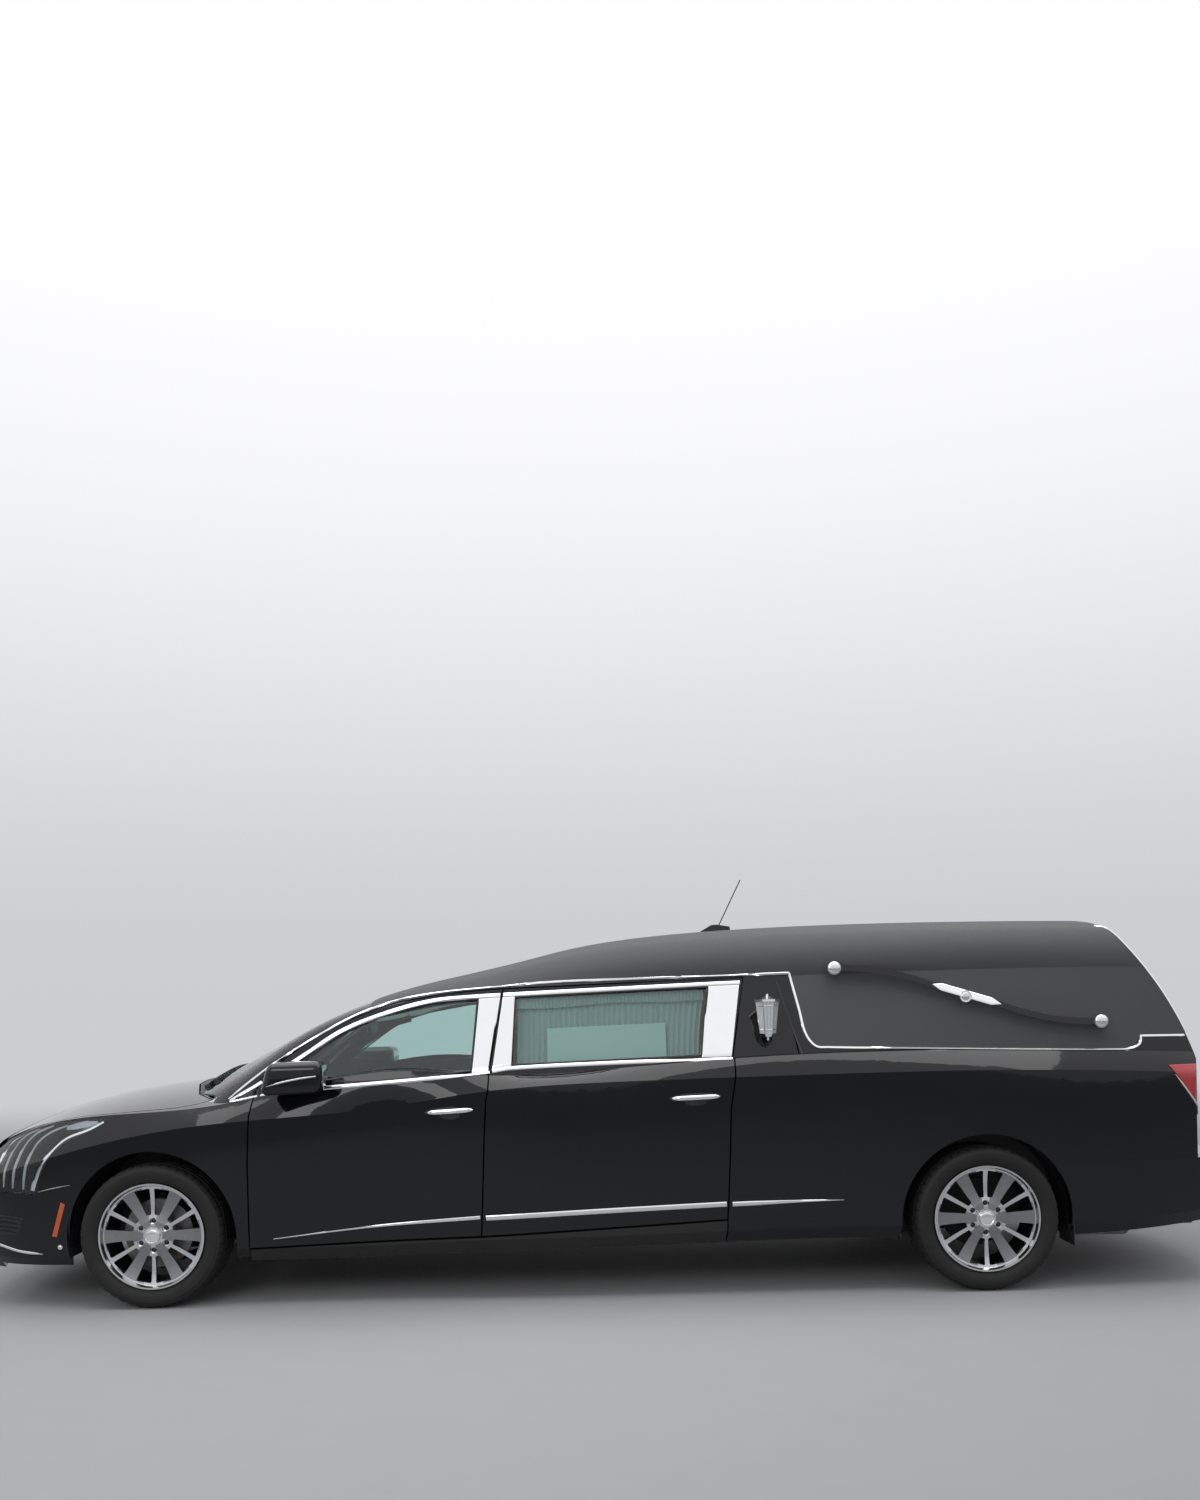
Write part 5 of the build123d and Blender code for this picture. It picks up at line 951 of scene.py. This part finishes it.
# Side curtains: pale pleated cloth gathered on a chromed rail inside each rear side window, under a valance.
# Each is one flat cloth of much greater width, drawn into uneven folds.
CURTAIN_FRONT, CURTAIN_REAR, CURTAIN_SLANT = -0.388, 0.500, 0.036
CURTAIN_FOOT, CURTAIN_TOP = 1.101, 1.422
CURTAIN_Y, CURTAIN_LEAN = 0.764, 0.347
PLEATS, PLEAT_DEPTH, VALANCE_WAVE = 34, 0.0075, 0.0045
VALANCE_FRONT, VALANCE_REAR = -0.384, 0.538
VALANCE_TOP, VALANCE_RISE, VALANCE_DROP, VALANCE_SET = 1.441, 0.028, 0.052, 0.026
RAIL_Z, RAIL_SET, CURTAIN_RAIL_RADIUS = CURTAIN_TOP - 0.012, 0.012, 0.005
cloth = Finish("curtain_cloth", "curtain_cloth")
cloth_x, _, cloth_z = cloth.axes()
threads = (cloth_x * 2400.0).wave() + (cloth_z * 2400.0).wave()
cloth.solid(((0.60, 0.65, 0.66), (0.70, 0.74, 0.75)), (7.0, 4.0), (0.82, 0.08, 30.0), threads, 0.0003, 0.4,
            {"Sheen Weight": 0.25})
random.seed(5)
wobble = [random.uniform(-0.35, 0.35) for _ in range(PLEATS + 1)]
for side, label in ((-1, "left"), (1, "right")):
    def fold(s, t):
        """Place on the curtain, from its front edge back and from its foot up."""
        spread = (s - 0.5) * (1 - 0.012 * sin(pi * t))
        x = (CURTAIN_FRONT + CURTAIN_REAR) / 2 + (CURTAIN_REAR - CURTAIN_FRONT) * spread
        along = s * PLEATS
        k = int(min(along, PLEATS - 1))
        share = along - k
        phase = tau * (along + wobble[k] * (1 - share) * 0.3 + wobble[k + 1] * share * 0.3)
        deep = PLEAT_DEPTH * (0.75 + 0.25 * t) * (1 - 0.5 * exp(-((t - 0.94) / 0.03) ** 2))
        z = CURTAIN_FOOT + (CURTAIN_TOP - CURTAIN_FOOT) * t
        y = CURTAIN_Y - CURTAIN_LEAN * (z - CURTAIN_FOOT) - 0.001 + deep * sin(phase)
        return Vector((x + CURTAIN_SLANT * s ** 3 * t + 0.0035 * sin(2 * phase), side * y, z))

    def frill(s, t):
        """Place on the valance, from its front edge back and from its foot up."""
        x = VALANCE_FRONT + (VALANCE_REAR - VALANCE_FRONT) * s
        z = VALANCE_TOP + VALANCE_RISE * s - VALANCE_DROP * (1 - t) * (1 + 0.10 * sin(9 * s))
        wave = VALANCE_WAVE * (1.2 - t) * sin(tau * s * PLEATS * 1.6)
        return Vector((x, side * (CURTAIN_Y + VALANCE_SET - CURTAIN_LEAN * (z - CURTAIN_FOOT) + wave), z))

    body = "side_door_" + label[0]
    for name, across, upward, place, fall in (("_cloth", PLEATS * 12, 24, fold, CURTAIN_TOP - CURTAIN_FOOT),
                                              ("_valance", PLEATS * 16, 5, frill, VALANCE_DROP)):
        drop = fall * hypot(1, CURTAIN_LEAN)
        bm = gridded(across, upward, place)
        bmesh.ops.recalc_face_normals(bm, faces=bm.faces)
        area = sum(f.calc_area() for f in bm.faces)
        piece("curtain_" + label + name, bm, cloth, body, 180.0)
        area / drop
    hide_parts("curtain_" + label)
    rail = bmesh.new()
    y = side * (CURTAIN_Y - CURTAIN_LEAN * (RAIL_Z - CURTAIN_FOOT) - RAIL_SET)
    rod(rail, (CURTAIN_FRONT, y, RAIL_Z), (CURTAIN_REAR, y, RAIL_Z), CURTAIN_RAIL_RADIUS)
    piece("curtain_rail_" + label, rail, chrome, body)

# Sign board: a blank pale card behind the left side window.
# It leans against the glass in front of the curtain.
card = Finish("board_card")
card.solid(((0.86, 0.95, 0.94), (0.90, 0.97, 0.96)), (4.0,), (0.6, 0.1, 50.0), card.noise(300.0), 0.0001)
dress(["sign_board"], card)


# Front seats: black leather over foam, each a cushion, a back with side rolls and a head rest on two posts.
# The covers are sewn with a channel along each roll, and the seats stand on plastic-clad frames.
def padded(name, size, place, lean, side, puff, rolls=0.0):
    """Foam pad with rounded corners: thicker in the middle, with raised side rolls if wanted."""
    bm = bmesh.new()
    slab(bm, -Vector(size) / 2, Vector(size) / 2, min(size) * 0.38, 5)
    long_edges = [e for e in bm.edges if e.calc_length() > 0.05]
    bmesh.ops.subdivide_edges(bm, edges=long_edges, cuts=9, use_grid_fill=True)
    thin = min(range(3), key=lambda i: size[i])
    for vert in bm.verts:
        spread = [vert.co[i] / (size[i] / 2) for i in range(3)]
        others = [abs(spread[i]) for i in range(3) if i != thin]
        bulge = (1 - others[0] ** 2) * (1 - others[1] ** 2) * puff
        roll = rolls * exp(-((abs(spread[1]) - ROLL_MIDDLE) / ROLL_WIDTH) ** 2)
        channel = -CHANNEL_DEPTH * (1 if abs(abs(spread[1]) - CHANNEL_PLACE) < 0.05 else 0)
        outward = copysign(1, spread[thin]) * (1 if abs(spread[thin]) > 0.3 else 0)
        vert.co[thin] += outward * (bulge + roll + channel)
    bmesh.ops.rotate(bm, cent=(0, 0, 0), matrix=Matrix.Rotation(lean, 3, "Y"), verts=bm.verts)
    bmesh.ops.translate(bm, vec=(SEATS_X + place[0], side * SEATS_Y, place[1]), verts=bm.verts)
    made = piece(name, bm, leather, "root", 60.0)
    return made


SEATS_X, SEATS_Y = -0.870, 0.390
ROLL_MIDDLE, ROLL_WIDTH, CHANNEL_PLACE, CHANNEL_DEPTH = 0.78, 0.16, 0.56, 0.003
leather = Finish("seat_leather", "seat_leather")
creases = leather.noise(90.0, 5.0, 0.6)
leather.solid(((0.018, 0.018, 0.019), (0.034, 0.033, 0.033)), (6.0,), (0.42, 0.18, creases), creases, 0.0006,
              0.6)
seat_pieces = []
for side, label in ((-1, "left"), (1, "right")):
    seat_pieces += [
        padded("seat_cushion_" + label, (0.490, 0.490, 0.120), (-0.050, 0.497), 0.0, side, 0.006, 0.010),
        padded("seat_back_" + label, (0.105, 0.470, 0.580), (0.250, 0.800), radians(17), side, 0.006, 0.012),
        padded("seat_head_" + label, (0.080, 0.270, 0.175), (0.365, 1.180), radians(8), side, 0.004)]
    hard = bmesh.new()
    y = side * SEATS_Y
    slab(hard, (SEATS_X - 0.200, y - 0.180, 0.293), (SEATS_X + 0.150, y + 0.180, 0.440), 0.012)
    for post_y in (y - 0.06, y + 0.06):
        rod(hard, (SEATS_X + 0.335, post_y, 1.060), (SEATS_X + 0.350, post_y, 1.110), 0.006)
    piece("seat_base_" + label, hard, plastic, "root")
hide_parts("front_seats")

# Wheel arch linings: black moulded shells over each tyre that close the arch off from the bay and the cabin.
# They run from low in front of the tyre over it and down behind, and an inner wall joins them to the floor.
LINING_RADIUS, LINING_START, LINING_END, LINING_STEPS = 0.413, radians(-14), radians(194), 60
RIBS, RIB_SHARE = 24, 0.006
LININGS = [("front", -0.455, -0.868), ("rear", -0.645, -0.868)]
for axle, inner, outer in LININGS:
    centre = WHEEL_PLACES[axle + "_wheel_left"]
    loops = []
    for i in range(LINING_STEPS + 1):
        a = LINING_START + (LINING_END - LINING_START) * i / LINING_STEPS
        wide = LINING_RADIUS * (1 + RIB_SHARE * cos(a * RIBS))
        spots = [(LINING_RADIUS + 0.003, outer), (wide, outer + 0.02), (wide, inner), (0.02, inner - 0.001),
                 (0.02, inner + 0.003), (LINING_RADIUS + 0.006, inner + 0.003), (LINING_RADIUS + 0.006, outer)]
        loops.append([Vector((centre.x + r * cos(a), y, centre.z + r * sin(a))) for r, y in spots])
    pair("arch_lining_" + axle, skinned(loops), plastic, "root")

# Corner fillets: black triangles at the front of the window line, one on the wing and one on the door.
# Moulded caps of dull plastic, clipped on.
FILLETS = [("wing_fillet", "root",
            [(-1.742, 0.9805), (-1.629, 1.003), (-1.629, 1.047), (-1.735, 0.984)]),
           ("door_fillet", "front_door_l",
            [(-1.606, 1.008), (-1.512, 1.024), (-1.508, 1.118), (-1.600, 1.064)])]
for name, body, corners in FILLETS:
    plated(name, corners, 0.0022, plastic, body, (12, 6), 0.0008)

# Nose seam: a thin chrome strip under each headlamp, running back over the wing, a painted highlight of the
# light caught on the panel seam.
# A thin rounded strip, set just proud of the skin.
NOSE_SEAM_HIGHLIGHT = [(-2.690, 0.560), (-2.600, 0.580), (-2.520, 0.594)]
moulding("nose_seam", NOSE_SEAM_HIGHLIGHT, 0.0018, 0.0016, ends=(0.4, 0.4))

# Tail: mud guards behind the rear wheels, a chromed grip, a blank plate on two screws and a high stop lamp.
# Guards of rubber sheet; the rest is screwed to the tail door and swings with it.
guards = bmesh.new()
slab(guards, (2.262, -0.886, 0.205), (2.268, -0.700, 0.345), 0.0025, 2)
pair("mud_guard", guards, plastic, "root")
TAIL_SKIN = surface(["tail_door", "tail_glass", "roof"])


def tail_x(y, z):
    """Where the tail lies at one place seen from behind."""
    return TAIL_SKIN.ray_cast(Vector((3.4, y, z)), Vector((-1, 0, 0)))[0].x


def tail_bar(name, z, half_width, steps, lift, depth, half_height, around, finish, rounded):
    """Bar that follows the tail's curve across it, with rounded or square ends."""
    sections = []
    for i in range(steps + 1):
        share = 2 * i / steps - 1
        end = sqrt(max(0.0, 1 - abs(share) ** 8)) if rounded else 1.0
        middle = Vector((tail_x(half_width * share, z) + lift, half_width * share, z))
        sections.append(hoop(middle, Vector((depth * end, 0, 0)),
                             Vector((0, 0, half_height * max(0.15, end))), around))
    piece(name, skinned(sections), finish, "tail_door_b")


PLATE_Z, PLATE_HALF_WIDTH, PLATE_HALF_HEIGHT, PLATE_THICKNESS = 0.850, 0.152, 0.075, 0.003
SCREW_Y, SCREW_Z, SCREW_RADIUS = 0.130, 0.905, 0.0045
plate_x = tail_x(0.0, PLATE_Z)
plate = bmesh.new()
slab(plate, (plate_x, -PLATE_HALF_WIDTH, PLATE_Z - PLATE_HALF_HEIGHT),
     (plate_x + PLATE_THICKNESS, PLATE_HALF_WIDTH, PLATE_Z + PLATE_HALF_HEIGHT), 0.0012, 2)
for y in (-SCREW_Y, SCREW_Y):
    drum(plate, (plate_x + 0.004, y, SCREW_Z), SCREW_RADIUS, 0.003, "X", segments=16)
plate_finish = Finish("plain_plate", "board_card")
plate_finish.solid(((0.62, 0.63, 0.64), (0.68, 0.69, 0.70)), (8.0,), (0.34, 0.1, 40.0),
                   plate_finish.noise(200.0), 0.0001)
piece("blank_plate", plate, plate_finish, "tail_door_b")
tail_bar("tail_door_grip", 0.985, 0.190, 40, 0.004, 0.008, 0.014, 14, chrome, True)
tail_bar("high_stop_lamp", 1.650, 0.150, 30, 0.0015, 0.004, 0.010, 12, red, False)

# Inside mirror: a black plastic shell on a short stem.
# The stem is glued to the windscreen's middle, near its top.
inner = bmesh.new()
slab(inner, (-1.238, -0.112, 1.268), (-1.216, 0.112, 1.328), 0.010, 4)
rod(inner, (-1.232, 0.0, 1.318), (-1.262, 0.0, 1.372), 0.008)
piece("inside_mirror", inner, plastic, "root")

# Cabin: grained dark dashboard, dark steering wheel, and the load deck with its rollers and side rails.
# The deck is a veneered panel screwed to the floor, with chromed rollers set in it.
dress(["dashboard", "steering_wheel"], plastic)
deck = Finish("deck_panel")
deck_x, deck_y, deck_z = deck.axes()
grain_place = deck.node("ShaderNodeCombineXYZ", {}, {0: deck_x * 0.6, 1: deck_y * 14.0, 2: deck_z})
figure = deck.noise(3.0, 5.0, 0.6, grain_place)
deck.solid(((0.05, 0.022, 0.012), (0.12, 0.055, 0.028)), figure, (0.30, 0.12, figure), figure, 0.0003, 0.4,
           {"Coat Weight": 0.6})
dress(["casket_deck"], deck)
DECK_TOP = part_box("casket_deck")[1].z
ROLLER_ROWS, ROLLER_START, ROLLER_PITCH, ROLLER_Y = 6, 0.10, 0.48, 0.28
ROLLER_HALF, ROLLER_RADIUS, ROLLER_Z = 0.10, 0.012, DECK_TOP + 0.016
BRACKET_Y, BRACKET_TOP = 0.105, DECK_TOP + 0.030
RAIL_FRONT, RAIL_REAR, RAIL_Y, RAIL_HEIGHT = -0.10, 2.70, 0.47, 0.010
rollers = bmesh.new()
for i in range(ROLLER_ROWS):
    x = ROLLER_START + ROLLER_PITCH * i
    for y in (-ROLLER_Y, ROLLER_Y):
        rod(rollers, (x, y - ROLLER_HALF, ROLLER_Z), (x, y + ROLLER_HALF, ROLLER_Z), ROLLER_RADIUS)
        for end in (y - BRACKET_Y, y + BRACKET_Y):
            slab(rollers, (x - 0.014, end - 0.004, DECK_TOP), (x + 0.014, end + 0.004, BRACKET_TOP), 0.003)
for y in (-RAIL_Y, RAIL_Y):
    slab(rollers, (RAIL_FRONT, y - 0.012, DECK_TOP), (RAIL_REAR, y + 0.012, DECK_TOP + RAIL_HEIGHT), 0.003)
piece("deck_rollers", rollers, chrome, "root")
